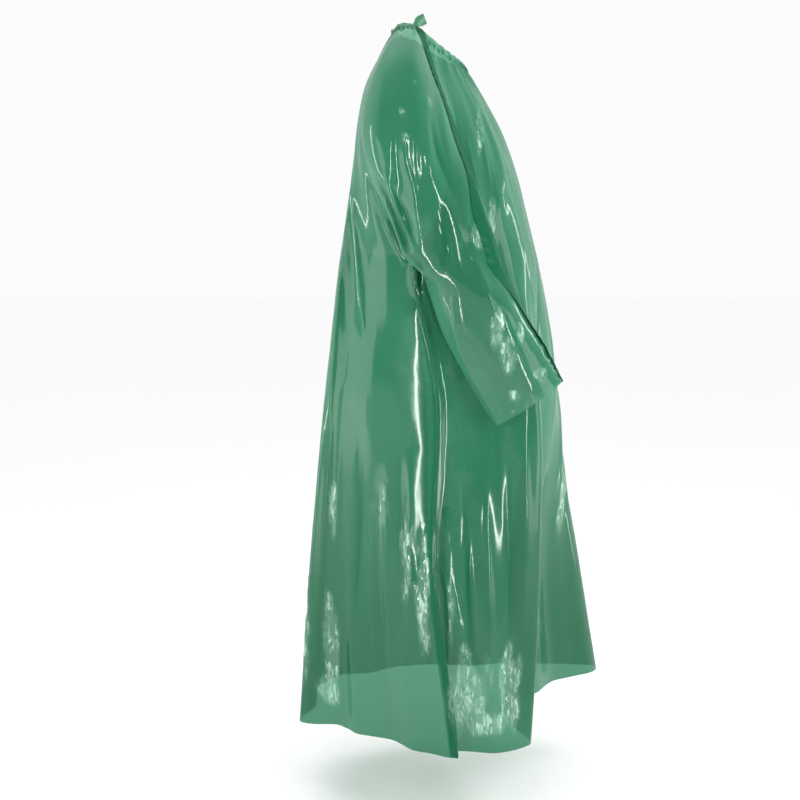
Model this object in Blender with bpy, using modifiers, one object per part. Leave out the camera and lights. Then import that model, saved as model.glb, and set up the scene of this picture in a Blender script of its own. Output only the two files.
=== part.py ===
"""Calving gown of thin film in its worn, hollow form.

Metres, +Z up. The origin is the middle of the neck opening, on the shoulder line. The
gown faces -Y and its right side is -X. It is two flat layers cut as a T and welded along
the edges: a front, and a back in two halves that lap at the centre. Each sleeve is cut
in one with them. The shape is lofted through rings: a yoke from the neckline to the
underarms, which parts there into a skirt and two sleeves.
"""
import math
from typing import NamedTuple

import bpy
from mathutils import Matrix, Vector

WALL = 0.0012
GAP = 0.0003
HEM_Z = -1.26
LAP_SHARE = 0.36
LAP_LIFT = 0.0032
COLLECTION = "calving_gown"
UP = Vector((0.0, 0.0, 1.0))

# Room left at a seam beyond the gap, and the sharpest edge that the walls are cleared for.
SEAM_SLACK = 0.00005
SHARPEST_HALF_ANGLE = math.radians(20.0)

# Rows of faces down each block.
NECK_PLACES = (0.0, 0.26, 0.58, 0.95)
YOKE_ROWS = 10
SKIRT_ROWS = 20
SLEEVE_ROWS = 11

TIE_WIDTH = 0.013
TIE_CLEAR = 0.0014
KNOT_CLEAR = 0.0006
TIE_TOP = 0.002
TIE_TIP = Vector((-0.0865, 0.0115, 0.0180))
TIE_TIP_DOWN = Vector((0.0, -0.36, -0.93))
TAIL_LENGTH = 0.105
TAIL_START = 0.011
KNOT_SIZE = Vector((0.0085, 0.0052, 0.0075))
KNOT_SEGMENTS = 16
KNOT_RINGS = 10


class Finish(NamedTuple):
    """Colour and surface values of one material."""

    colour: tuple
    roughness: float
    metallic: float = 0.0


FILM = Finish((0.075, 0.36, 0.19, 1.0), 0.22)
TIE_FILM = Finish((0.05, 0.33, 0.15, 1.0), 0.25)


class YokeRing(NamedTuple):
    """Right half of a ring round the neck and shoulders. Each station is X, Y, Z."""

    centre_front: tuple
    chest: tuple
    chest_side: tuple
    pit_front: tuple
    inner_arm: tuple
    top_weld: tuple
    outer_arm: tuple
    rear_arm: tuple
    pit_back: tuple
    blade: tuple
    centre_back: tuple


YOKE = (
    YokeRing(  # neckline
        centre_front=(0.0, -0.062, -0.054), chest=(-0.029, -0.053, -0.049),
        chest_side=(-0.052, -0.034, -0.038), pit_front=(-0.073, -0.006, -0.020),
        inner_arm=(-0.077, 0.004, -0.012), top_weld=(-0.079, 0.013, -0.005),
        outer_arm=(-0.078, 0.032, 0.006), rear_arm=(-0.066, 0.048, 0.010),
        pit_back=(-0.047, 0.056, 0.012), blade=(-0.025, 0.061, 0.012),
        centre_back=(0.0, 0.062, 0.012)),
    YokeRing(  # collar bones
        centre_front=(0.0, -0.097, -0.114), chest=(-0.042, -0.085, -0.108),
        chest_side=(-0.075, -0.060, -0.097), pit_front=(-0.108, -0.016, -0.082),
        inner_arm=(-0.118, -0.011, -0.080), top_weld=(-0.126, -0.005, -0.078),
        outer_arm=(-0.150, 0.032, -0.030), rear_arm=(-0.130, 0.074, -0.034),
        pit_back=(-0.100, 0.084, -0.038), blade=(-0.058, 0.091, -0.043),
        centre_back=(0.0, 0.089, -0.045)),
    YokeRing(  # shoulder points
        centre_front=(0.0, -0.130, -0.181), chest=(-0.055, -0.115, -0.175),
        chest_side=(-0.098, -0.088, -0.163), pit_front=(-0.143, -0.036, -0.149),
        inner_arm=(-0.155, -0.032, -0.148), top_weld=(-0.167, -0.027, -0.148),
        outer_arm=(-0.215, 0.034, -0.082), rear_arm=(-0.192, 0.092, -0.098),
        pit_back=(-0.146, 0.111, -0.103), blade=(-0.078, 0.117, -0.105),
        centre_back=(0.0, 0.111, -0.105)),
    YokeRing(  # upper arms
        centre_front=(0.0, -0.157, -0.252), chest=(-0.068, -0.142, -0.248),
        chest_side=(-0.122, -0.112, -0.243), pit_front=(-0.171, -0.042, -0.238),
        inner_arm=(-0.187, -0.050, -0.238), top_weld=(-0.205, -0.056, -0.238),
        outer_arm=(-0.262, 0.024, -0.180), rear_arm=(-0.240, 0.096, -0.190),
        pit_back=(-0.184, 0.126, -0.198), blade=(-0.085, 0.132, -0.195),
        centre_back=(0.0, 0.124, -0.195)),
    YokeRing(  # above the underarms
        centre_front=(0.0, -0.180, -0.335), chest=(-0.078, -0.163, -0.333),
        chest_side=(-0.140, -0.128, -0.330), pit_front=(-0.190, -0.018, -0.328),
        inner_arm=(-0.211, -0.052, -0.331), top_weld=(-0.234, -0.090, -0.335),
        outer_arm=(-0.287, -0.002, -0.295), rear_arm=(-0.262, 0.078, -0.305),
        pit_back=(-0.196, 0.096, -0.310), blade=(-0.089, 0.145, -0.300),
        centre_back=(0.0, 0.136, -0.300)),
    YokeRing(  # underarms
        centre_front=(0.0, -0.200, -0.415), chest=(-0.085, -0.183, -0.413),
        chest_side=(-0.148, -0.145, -0.410), pit_front=(-0.198, 0.032, -0.405),
        inner_arm=(-0.221, -0.045, -0.414), top_weld=(-0.249, -0.118, -0.425),
        outer_arm=(-0.295, -0.030, -0.408), rear_arm=(-0.264, 0.052, -0.404),
        pit_back=(-0.198, 0.032, -0.405), blade=(-0.090, 0.159, -0.400),
        centre_back=(0.0, 0.150, -0.400)),
)


class SkirtRing(NamedTuple):
    """A level ring of the skirt. Each station is X, Y, from the right side weld round."""

    z: float
    side_weld_r: tuple
    tuck_r: tuple
    side_front_r: tuple
    near_fold: tuple
    valley: tuple
    centre_front: tuple
    chest_l: tuple
    far_fold: tuple
    side_front_l: tuple
    tuck_l: tuple
    side_weld_l: tuple
    side_back_l: tuple
    quarter_l: tuple
    blade_l: tuple
    centre_back: tuple
    blade_r: tuple
    quarter_r: tuple
    side_back_r: tuple


SKIRT = (
    SkirtRing(  # wrists
        z=-0.66, side_weld_r=(-0.211, -0.006), tuck_r=(-0.202, -0.024),
        side_front_r=(-0.199, -0.100), near_fold=(-0.190, -0.184), valley=(-0.098, -0.178),
        centre_front=(0.012, -0.232), chest_l=(0.095, -0.2455), far_fold=(0.166, -0.226),
        side_front_l=(0.201, -0.120), tuck_l=(0.205, -0.020), side_weld_l=(0.212, 0.012),
        side_back_l=(0.180, 0.118), quarter_l=(0.142, 0.165), blade_l=(0.098, 0.182),
        centre_back=(0.0, 0.178), blade_r=(-0.086, 0.191), quarter_r=(-0.126, 0.158),
        side_back_r=(-0.170, 0.104)),
    SkirtRing(  # knees
        z=-0.95, side_weld_r=(-0.238, 0.002), tuck_r=(-0.220, -0.008),
        side_front_r=(-0.220, -0.100), near_fold=(-0.201, -0.187), valley=(-0.080, -0.150),
        centre_front=(0.050, -0.206), chest_l=(0.138, -0.263), far_fold=(0.205, -0.289),
        side_front_l=(0.243, -0.172), tuck_l=(0.240, -0.035), side_weld_l=(0.242, 0.006),
        side_back_l=(0.196, 0.132), quarter_l=(0.158, 0.183), blade_l=(0.110, 0.203),
        centre_back=(0.0, 0.197), blade_r=(-0.083, 0.217), quarter_r=(-0.117, 0.164),
        side_back_r=(-0.171, 0.098)),
    SkirtRing(  # hem
        z=HEM_Z, side_weld_r=(-0.264, -0.033), tuck_r=(-0.236, -0.031),
        side_front_r=(-0.234, -0.108), near_fold=(-0.206, -0.175), valley=(-0.055, -0.133),
        centre_front=(0.086, -0.198), chest_l=(0.182, -0.288), far_fold=(0.258, -0.347),
        side_front_l=(0.277, -0.218), tuck_l=(0.268, -0.052), side_weld_l=(0.272, -0.004),
        side_back_l=(0.206, 0.148), quarter_l=(0.166, 0.200), blade_l=(0.120, 0.225),
        centre_back=(0.0, 0.217), blade_r=(-0.080, 0.238), quarter_r=(-0.108, 0.167),
        side_back_r=(-0.170, 0.092)),
)


class SleeveRing(NamedTuple):
    """A flattened ring of the right sleeve: its two weld points, and how far it bulges."""

    top_weld: tuple
    under_weld: tuple
    outer_x: float
    inner_x: float


SLEEVE = (
    SleeveRing((-0.252, -0.139, -0.474), (-0.212, 0.006, -0.470), -0.301, -0.2185),
    SleeveRing((-0.253, -0.163, -0.523), (-0.224, -0.014, -0.532), -0.302, -0.2175),
    SleeveRing((-0.253, -0.184, -0.560), (-0.232, -0.040, -0.584), -0.299, -0.2165),
    SleeveRing((-0.252, -0.199, -0.588), (-0.237, -0.072, -0.642), -0.292, -0.2170),
    SleeveRing((-0.251, -0.216, -0.620), (-0.240, -0.106, -0.695), -0.283, -0.2190),
)

# Where the sleeve's bulging stations lie between its two welds.
INNER_SHARE = 0.50
OUTER_SHARE = 0.34
REAR_SHARE = 0.74
REAR_DRAW = 0.010


class SoftFold(NamedTuple):
    """A ridge, or a trough where depth is negative, that runs down one block of a panel.

    Place and width are shares of the row's length. The fold rises from start to peak and
    dies away at end, which are shares of the block's height; RUNS_ON takes it past the hem.
    """

    place: float
    width: float
    depth: float
    start: float
    peak: float
    end: float


RUNS_ON = 9.0
SKIRT_FRONT_FOLDS = (
    SoftFold(0.10, 0.030, 0.008, 0.30, 1.0, RUNS_ON),
    SoftFold(0.16, 0.026, -0.007, 0.45, 1.0, RUNS_ON),
    SoftFold(0.30, 0.034, 0.010, 0.20, 1.0, RUNS_ON),
    SoftFold(0.38, 0.030, -0.009, 0.10, 0.9, RUNS_ON),
    SoftFold(0.47, 0.034, 0.012, 0.25, 1.0, RUNS_ON),
    SoftFold(0.55, 0.030, -0.010, 0.35, 1.0, RUNS_ON),
    SoftFold(0.64, 0.034, 0.011, 0.15, 0.8, RUNS_ON),
    SoftFold(0.84, 0.032, 0.009, 0.25, 1.0, RUNS_ON),
    SoftFold(0.91, 0.028, -0.008, 0.40, 1.0, RUNS_ON),
)
SKIRT_BACK_FOLDS = (
    SoftFold(0.16, 0.050, 0.007, 0.35, 1.0, RUNS_ON),
    SoftFold(0.30, 0.055, -0.008, 0.20, 0.9, RUNS_ON),
    SoftFold(0.44, 0.050, 0.009, 0.45, 1.0, RUNS_ON),
    SoftFold(0.58, 0.045, -0.006, 0.30, 1.0, RUNS_ON),
)
YOKE_FRONT_FOLDS = (
    SoftFold(0.27, 0.030, 0.005, 0.10, 0.55, 0.95),
    SoftFold(0.38, 0.028, -0.004, 0.05, 0.35, 0.85),
    SoftFold(0.50, 0.030, 0.004, 0.10, 0.40, 0.95),
    SoftFold(0.61, 0.028, -0.004, 0.05, 0.45, 0.90),
    SoftFold(0.73, 0.030, 0.005, 0.15, 0.60, 0.95),
)
YOKE_BACK_FOLDS = (
    SoftFold(0.14, 0.030, -0.004, 0.20, 0.65, 1.00),
    SoftFold(0.24, 0.034, 0.005, 0.30, 0.70, 1.00),
    SoftFold(0.34, 0.030, -0.005, 0.35, 0.75, 1.00),
    SoftFold(0.55, 0.030, -0.006, 0.40, 0.80, 1.00),
    SoftFold(0.70, 0.030, 0.004, 0.25, 0.60, 1.00),
)
SLEEVE_FOLDS = (
    SoftFold(0.22, 0.110, 0.004, 0.05, 0.35, 0.80),
    SoftFold(0.46, 0.100, -0.005, 0.10, 0.45, 0.95),
    SoftFold(0.70, 0.110, 0.004, 0.00, 0.25, 0.70),
)


class ArmWrinkle(NamedTuple):
    """A ridge or trough across the sleeve, at a share of its length below the underarm."""

    place: float
    width: float
    depth: float


ARM_WRINKLES = (
    ArmWrinkle(0.16, 0.07, 0.0030),
    ArmWrinkle(0.31, 0.06, -0.0036),
    ArmWrinkle(0.45, 0.06, 0.0040),
    ArmWrinkle(0.60, 0.06, -0.0032),
    ArmWrinkle(0.76, 0.07, 0.0030),
)

NECK_GATHERS = 28
GATHER_DEPTH = 0.0016
GATHER_FADE = 1.3
LAP_CALM = 0.014

# Body stations that lie between two yoke stations, and how far each swells with the side.
TUCK_SHARE = 0.14
SIDE_FRONT_SHARE = 0.52
SIDE_BACK_SHARE = 0.42
QUARTER_SHARE = 0.74
SIDE_BULGE = Vector((-0.012, 0.0, 0.0))
TUCK_SWELL = 0.3
SIDE_BACK_SWELL = 0.9
QUARTER_SWELL = 0.6
SKIRT_FROM_YOKE = {
    "side_weld": "pit_front", "near_fold": "chest_side", "valley": "chest",
    "centre_front": "centre_front", "chest": "chest", "far_fold": "chest_side",
    "blade": "blade", "centre_back": "centre_back",
}

# How far below the underarm, in rings, an edge takes up its own direction.
BODY_SETTLE = 0.5
SLEEVE_SETTLE = 1.5

# Number of faces between one station and the next.
ARM_STEPS = (3, 3)
FRONT_STEPS = (2, 3, 4, 3, 3, 3, 3, 4, 3, 2)
OUTER_STEPS = (4, 3, 3)
BACK_STEPS = (3, 3, 3, 3)
LAP_STEPS = 2
TAB_STEPS = 4
TAB_BOW = 0.002


def catmull_rom(before, start, end, after, share):
    """Return the point at a share of the centripetal curve between start and end."""
    knots = [0.0]
    for here, there in ((before, start), (start, end), (end, after)):
        knots.append(knots[-1] + max((there - here).length, 1e-6) ** 0.5)
    t = knots[1] + share * (knots[2] - knots[1])

    def mix(a, b, ta, tb):
        return a * ((tb - t) / (tb - ta)) + b * ((t - ta) / (tb - ta))

    a1 = mix(before, start, knots[0], knots[1])
    a2 = mix(start, end, knots[1], knots[2])
    a3 = mix(end, after, knots[2], knots[3])
    b1 = mix(a1, a2, knots[0], knots[2])
    b2 = mix(a2, a3, knots[1], knots[3])
    return mix(b1, b2, knots[1], knots[2])


def smooth(share):
    """Ease from 0 to 1."""
    share = min(max(share, 0.0), 1.0)
    return share * share * (3.0 - 2.0 * share)


def through(points, steps):
    """Sample the curve through all but the first and last points, which only steer it."""
    row = []
    for index, count in enumerate(steps):
        for step in range(count):
            row.append(catmull_rom(*points[index:index + 4], step / count))
    row.append(points[-2].copy())
    return row


def along(line, place):
    """Return the point at a place, in ring numbers, on a line of one station."""
    ends = [2 * line[0] - line[1], *line, 2 * line[-1] - line[-2]]
    index = min(int(place), len(line) - 2)
    return catmull_rom(*ends[index:index + 4], place - index)


def mirrored(point):
    """Return the point on the other side of the gown."""
    return Vector((-point.x, point.y, point.z))


def yoke_station(name, place):
    """Return a right-hand station of the yoke at a place in ring numbers."""
    return along([Vector(getattr(ring, name)) for ring in YOKE], place)


def body_station(name, place):
    """Return a station of the body's right half at a place in yoke ring numbers."""
    pit = yoke_station("pit_front", place)
    pit_back = yoke_station("pit_back", place)
    chest_side = yoke_station("chest_side", place)
    blade = yoke_station("blade", place)
    bulge = SIDE_BULGE * (place / (len(YOKE) - 1))
    between = {
        "tuck": pit.lerp(chest_side, TUCK_SHARE) + bulge * TUCK_SWELL,
        "side_front": pit.lerp(chest_side, SIDE_FRONT_SHARE) + bulge,
        "side_back": pit_back.lerp(blade, SIDE_BACK_SHARE) + bulge * SIDE_BACK_SWELL,
        "quarter": pit_back.lerp(blade, QUARTER_SHARE) + bulge * QUARTER_SWELL,
    }
    return between[name] if name in between else yoke_station(SKIRT_FROM_YOKE[name], place)


def skirt_station(name, place):
    """Return a skirt station; place 0 is the underarm ring and 1 the first skirt ring."""
    base = name[:-2] if name.endswith(("_r", "_l")) else name
    upper = len(YOKE) - 1
    turn = mirrored if name.endswith("_l") or name == "far_fold" else Vector
    above = [turn(body_station(base, upper - 1)), turn(body_station(base, upper))]
    below = [Vector((*getattr(ring, name), ring.z)) for ring in SKIRT]
    return along(above + below, place + 1)


def sleeve_station(name, place):
    """Return a right sleeve station; place 0 is the underarm ring."""
    upper = len(YOKE) - 1
    from_yoke = {"under_weld": "pit_back"}.get(name, name)
    line = [yoke_station(from_yoke, upper - 1), yoke_station(from_yoke, upper)]
    for ring in SLEEVE:
        top, under = Vector(ring.top_weld), Vector(ring.under_weld)
        shares = {"inner_arm": (INNER_SHARE, ring.inner_x, 0.0),
                  "outer_arm": (OUTER_SHARE, ring.outer_x, 0.0),
                  "rear_arm": (REAR_SHARE, ring.outer_x, REAR_DRAW)}
        if name in shares:
            share, side, draw = shares[name]
            point = top.lerp(under, share)
            point.x = side + draw
        else:
            point = top if name == "top_weld" else under
        line.append(point)
    return along(line, place + 1)


def gathered(row, place, fade=GATHER_FADE):
    """Ripple a yoke row near the neckline, where the ties draw it in, but not at the lap."""
    depth = GATHER_DEPTH * (1.0 - smooth(place / fade))
    if depth <= 0.0:
        return row
    for point in row:
        arm = Vector((point.x, point.y, 0.0))
        turn = math.atan2(arm.y, arm.x)
        calm = smooth(abs(point.x) / LAP_CALM - 1.0) if point.y > 0.0 else 1.0
        point += arm.normalized() * depth * calm * math.sin(NECK_GATHERS * turn)
    return row


def fold_growth(fold, height):
    """Return how far a fold has grown at a share of its block's height."""
    rise = smooth((height - fold.start) / (fold.peak - fold.start))
    return rise * (1.0 - smooth((height - fold.peak) / (fold.end - fold.peak)))


def row_shares(row):
    """Return each point's share of the row's length."""
    lengths = [0.0]
    for here, there in zip(row, row[1:]):
        lengths.append(lengths[-1] + (there - here).length)
    return [length / lengths[-1] for length in lengths]


def folded(row, folds, height, bulge=0.0):
    """Push a row out along its folds, and as a whole by bulge; its ends stay in place.

    Outwards is to the right of the row's run, seen from above.
    """
    moved = [row[0]]
    shares = row_shares(row)
    for index in range(1, len(row) - 1):
        tangent = (row[index + 1] - row[index - 1]).normalized()
        outward = tangent.cross(UP).normalized()
        shift = bulge * math.sin(math.pi * shares[index])
        for fold in folds:
            offset = (shares[index] - fold.place) / fold.width
            shift += fold.depth * fold_growth(fold, height) * math.exp(-offset * offset)
        moved.append(row[index] + outward * shift)
    return moved + [row[-1]]


def folded_back(row, folds, height, bulge=0.0):
    """Fold a row that runs from front to back on the right, where outwards is to its left."""
    turned = [fold._replace(depth=-fold.depth) for fold in folds]
    return folded(row, turned, height, -bulge)


def yoke_front_row(place):
    """Return a yoke row of the front, from the right top weld to the left one."""
    names = ("outer_arm", "top_weld", "inner_arm", "pit_front")
    right = [yoke_station(name, place) for name in names]
    right += [body_station(name, place) for name in ("tuck", "side_front", "near_fold", "chest")]
    middle = [body_station("centre_front", place)]
    left = [mirrored(point) for point in reversed(right)]
    row = through(right + middle + left, ARM_STEPS + FRONT_STEPS + ARM_STEPS[::-1])
    return folded(row, YOKE_FRONT_FOLDS, place / (len(YOKE) - 1))


def yoke_back_row(place):
    """Return a yoke row of the right back, from the top weld to past the centre back."""
    names = ("inner_arm", "top_weld", "outer_arm", "rear_arm", "pit_back")
    right = [yoke_station(name, place) for name in names]
    right += [body_station(name, place) for name in ("side_back", "quarter", "blade")]
    middle = [body_station("centre_back", place)]
    left = [mirrored(point) for point in reversed(right[-2:])]
    row = lapped(right + middle + left, OUTER_STEPS + BACK_STEPS)
    return folded_back(row, YOKE_BACK_FOLDS, place / (len(YOKE) - 1))


def lapped(points, steps):
    """Sample a back row whose last three points are the centre and two past it."""
    row = through(points[:-1], steps)
    beyond = points[-4:]
    for step in range(1, LAP_STEPS + 1):
        row.append(catmull_rom(*beyond, LAP_SHARE * step / LAP_STEPS))
    return row


def skirt_front_row(place):
    """Return a skirt row of the front, from the right side weld to the left one."""
    names = ("side_weld_r", "tuck_r", "side_front_r", "near_fold", "valley", "centre_front",
             "chest_l", "far_fold", "side_front_l", "tuck_l", "side_weld_l")
    points = [skirt_station(name, place) for name in names]
    settle = smooth(place / BODY_SETTLE)
    arm = yoke_station("inner_arm", len(YOKE) - 1)
    before = arm.lerp(skirt_station("side_back_r", place), settle)
    after = mirrored(arm).lerp(skirt_station("side_back_l", place), settle)
    return folded(through([before, *points, after], FRONT_STEPS), SKIRT_FRONT_FOLDS, fall(place))


def skirt_back_row(place, side):
    """Return a skirt row of one back half, from its side weld to past the centre back."""
    other = "l" if side == "r" else "r"
    names = [f"{name}_{side}" for name in ("side_weld", "side_back", "quarter", "blade")]
    names += ["centre_back", f"blade_{other}", f"quarter_{other}"]
    points = [skirt_station(name, place) for name in names]
    arm = yoke_station("rear_arm", len(YOKE) - 1)
    if side == "l":
        arm = mirrored(arm)
    before = arm.lerp(skirt_station(f"tuck_{side}", place), smooth(place / BODY_SETTLE))
    row = lapped([before, *points], BACK_STEPS)
    if side == "r":
        return folded_back(row, SKIRT_BACK_FOLDS, fall(place))
    return folded(row, SKIRT_BACK_FOLDS, fall(place))


def fall(place):
    """Return the share of the skirt's height that lies above a place."""
    top = YOKE[-1].centre_front[2]
    return (top - skirt_station("centre_front", place).z) / (top - HEM_Z)


def sleeve_row(place, outer):
    """Return a right sleeve row from the top weld to the under weld."""
    top, under = sleeve_station("top_weld", place), sleeve_station("under_weld", place)
    inner, near = sleeve_station("inner_arm", place), sleeve_station("outer_arm", place)
    rear = sleeve_station("rear_arm", place)
    settle = smooth(place / SLEEVE_SETTLE)
    height = place / len(SLEEVE)
    bulge = 0.0
    for wrinkle in ARM_WRINKLES:
        offset = (height - wrinkle.place) / wrinkle.width
        bulge += wrinkle.depth * math.exp(-offset * offset)
    if outer:
        after = body_station("side_back", len(YOKE) - 1).lerp(inner, settle)
        row = through([inner, top, near, rear, under, after], OUTER_STEPS)
        return folded_back(row, SLEEVE_FOLDS, height, bulge)
    after = body_station("tuck", len(YOKE) - 1).lerp(rear, settle)
    row = through([near, top, inner, under, after], ARM_STEPS)
    return folded(row, SLEEVE_FOLDS, height, bulge)


def spread(count, last):
    """Return the places of evenly spread rows, without the first."""
    return [last * step / count for step in range(1, count + 1)]


def yoke_places():
    """Return the places of the yoke's rows, closer together at the gathered neckline."""
    start = NECK_PLACES[-1]
    rest = spread(YOKE_ROWS, len(YOKE) - 1 - start)
    return [*NECK_PLACES, *(start + place for place in rest)]


class Panel:
    """A cut piece: a yoke that parts into a body and sleeve halves, as blocks of rows."""

    def __init__(self, name):
        self.name = name
        self.points = []
        self.faces = []
        self.blocks = {}

    def add_rows(self, block, rows, top=None):
        """Add a block of rows; top holds the shared point numbers of its first row."""
        numbers = [list(top)] if top else []
        for row in rows:
            first = len(self.points)
            self.points.extend(row)
            numbers.append(list(range(first, first + len(row))))
        for upper, lower in zip(numbers, numbers[1:]):
            for column in range(len(upper) - 1):
                self.faces.append((upper[column], lower[column],
                                   lower[column + 1], upper[column + 1]))
        self.blocks[block] = numbers

    def edge(self, block, column, first=0):
        """Return the point numbers of a block's edge column and of the column beside it."""
        beside = 1 if column == 0 else -2
        rows = self.blocks[block][first:]
        return [(row[column], row[beside]) for row in rows]


def build_front():
    """Lay out the front panel."""
    panel = Panel("front")
    panel.add_rows("yoke", [gathered(yoke_front_row(place), place) for place in yoke_places()])
    under = panel.blocks["yoke"][-1]
    arm = sum(ARM_STEPS)
    skirt = [skirt_front_row(place) for place in spread(SKIRT_ROWS, len(SKIRT))]
    panel.add_rows("skirt", skirt, under[arm:-arm])
    sleeve = [sleeve_row(place, outer=False) for place in spread(SLEEVE_ROWS, len(SLEEVE))]
    panel.add_rows("sleeve_r", sleeve, under[:arm + 1])
    other = [[mirrored(point) for point in reversed(row)] for row in sleeve]
    panel.add_rows("sleeve_l", other, under[-arm - 1:])
    return panel


def build_back(side):
    """Lay out one half of the back, from its top weld to past the centre back."""
    panel = Panel("back_right" if side == "r" else "back_left")
    turn = Vector if side == "r" else mirrored
    yoke = [gathered([turn(point) for point in yoke_back_row(place)], place)
            for place in yoke_places()]
    skirt = [skirt_back_row(place, side) for place in spread(SKIRT_ROWS, len(SKIRT))]
    sleeve = [[turn(point) for point in sleeve_row(place, outer=True)]
              for place in spread(SLEEVE_ROWS, len(SLEEVE))]
    panel.add_rows("yoke", yoke)
    under = panel.blocks["yoke"][-1]
    arm = sum(OUTER_STEPS)
    panel.add_rows("skirt", skirt, under[arm:])
    panel.add_rows("sleeve", sleeve, under[:arm + 1])
    if side == "r":
        panel.faces = [tuple(reversed(face)) for face in panel.faces]
        lift_lap(panel)
    return panel


def lift_lap(panel):
    """Raise the half that laps over the other one, so that they lie clear."""
    rows = panel.blocks["yoke"] + panel.blocks["skirt"][1:]
    reach = sum(BACK_STEPS[-2:]) + LAP_STEPS
    for row in rows:
        for step, number in enumerate(row[-reach:]):
            point = panel.points[number]
            outward = Vector((point.x, point.y, 0.0)).normalized()
            rise = smooth((step + 1) / sum(BACK_STEPS[-1:]))
            panel.points[number] = point + outward * LAP_LIFT * rise


def draw_apart(front, back, pairs):
    """Pull two welded edges back until their walls stand one gap apart.

    On a ridge the two inward walls would meet, so the edges draw back by as much as the
    wall's thickness needs at that angle.
    """
    moves = []
    for (ours, our_next), (theirs, their_next) in pairs:
        seam = front.points[ours]
        to_us = (front.points[our_next] - seam).normalized()
        to_them = (back.points[their_next] - seam).normalized()
        half = max(to_us.angle(to_them) / 2, SHARPEST_HALF_ANGLE)
        reach = GAP / 2 / math.sin(half) + WALL / math.tan(half) + SEAM_SLACK
        moves.append((front, ours, seam + to_us * reach))
        moves.append((back, theirs, seam + to_them * reach))
    for panel, number, place in moves:
        panel.points[number] = place


def part_at_pits(front, back, ours, theirs):
    """Part the two layers where they meet between the sleeve and the body."""
    clear = Vector((0.0, WALL + GAP, 0.0))
    front.points[ours] = front.points[ours] - clear
    back.points[theirs] = back.points[theirs] + clear


def weld(front, backs):
    """Set the seam gaps along both top welds, under welds and side welds."""
    for side, back in backs.items():
        outer = 0 if side == "r" else -1
        sleeve = f"sleeve_{side}"
        inner = -1 if side == "r" else 0
        pairs = list(zip(front.edge("yoke", outer), back.edge("yoke", 0)))
        pairs += zip(front.edge(sleeve, outer, 1), back.edge("sleeve", 0, 1))
        pairs += zip(front.edge(sleeve, inner, 1), back.edge("sleeve", -1, 1))
        pairs += zip(front.edge("skirt", outer, 1), back.edge("skirt", 0, 1))
        draw_apart(front, back, pairs)
        part_at_pits(front, back, front.blocks[sleeve][0][inner], back.blocks["sleeve"][0][-1])


def neck_offset(panel, column):
    """Return the outward step at a neckline column that clears both facets by one metre."""
    top = [panel.points[number] for number in panel.blocks["yoke"][0][column - 1:column + 2]]
    under = panel.points[panel.blocks["yoke"][1][column]]
    facets = []
    for here, there in zip(top, top[1:]):
        normal = (there - here).cross(under - top[1]).normalized()
        facets.append(normal if normal.dot(top[1]) > 0.0 else -normal)
    middle = (facets[0] + facets[1]).normalized()
    return middle / middle.dot(facets[0])


def tie_right_rows(back):
    """Return the right tie's sections: along the neckline, then up to its standing tip."""
    outer = sum(OUTER_STEPS)
    last = outer + sum(BACK_STEPS)
    lift = TIE_CLEAR + WALL
    rows = []
    for column in range(last - 1, OUTER_STEPS[0], -1):
        top = back.points[back.blocks["yoke"][0][column]]
        under = back.points[back.blocks["yoke"][1][column]]
        down = (under - top).normalized()
        out = neck_offset(back, column) * lift
        rows.append([top + down * TIE_TOP + out, top + down * (TIE_TOP + TIE_WIDTH) + out])
    start = (rows[-1][0] + rows[-1][1]) / 2
    start_down = (rows[-1][1] - rows[-1][0]).normalized()
    for step in range(1, TAB_STEPS + 1):
        share = step / TAB_STEPS
        middle = start.lerp(TIE_TIP, share)
        middle.x -= TAB_BOW * math.sin(math.pi * share)
        down = start_down.lerp(TIE_TIP_DOWN, smooth(share)).normalized() * (TIE_WIDTH / 2)
        rows.append([middle - down, middle + down])
    return rows


def tie_left_rows(back):
    """Return the left tie's sections: its tail hangs from the knot down the lapped back."""
    middle = sum(OUTER_STEPS) + sum(BACK_STEPS)
    line = [back.points[row[middle]] for row in back.blocks["yoke"]]
    side = [back.points[row[middle - 1]] for row in back.blocks["yoke"]]
    rows = []
    run = 0.0
    for index in range(len(line) - 1):
        length = (line[index + 1] - line[index]).length
        for share in (0.0, 0.5):
            here = run + length * share
            if TAIL_START <= here <= TAIL_LENGTH:
                edge = line[index].lerp(line[index + 1], share)
                beside = side[index].lerp(side[index + 1], share)
                across = (beside - edge).normalized()
                down = (line[index + 1] - line[index]).normalized()
                out = across.cross(down).normalized() * (KNOT_CLEAR + WALL)
                if out.y < 0.0:
                    out = -out
                rows.append([edge + out, edge + across * TIE_WIDTH + out])
        run += length
    return rows


def strip_object(name, rows, surface, collection):
    """Make a flat strip from its sections, with its wall laid inwards by Solidify."""
    panel = Panel(name)
    panel.add_rows("strip", rows)
    first = panel.faces[0]
    a, b, c = (panel.points[number] for number in first[:3])
    outward = Vector((a.x, a.y, 0.0))
    if (b - a).cross(c - a).dot(outward) < 0.0:
        panel.faces = [tuple(reversed(face)) for face in panel.faces]
    return film_object(panel, surface, collection)


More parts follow.
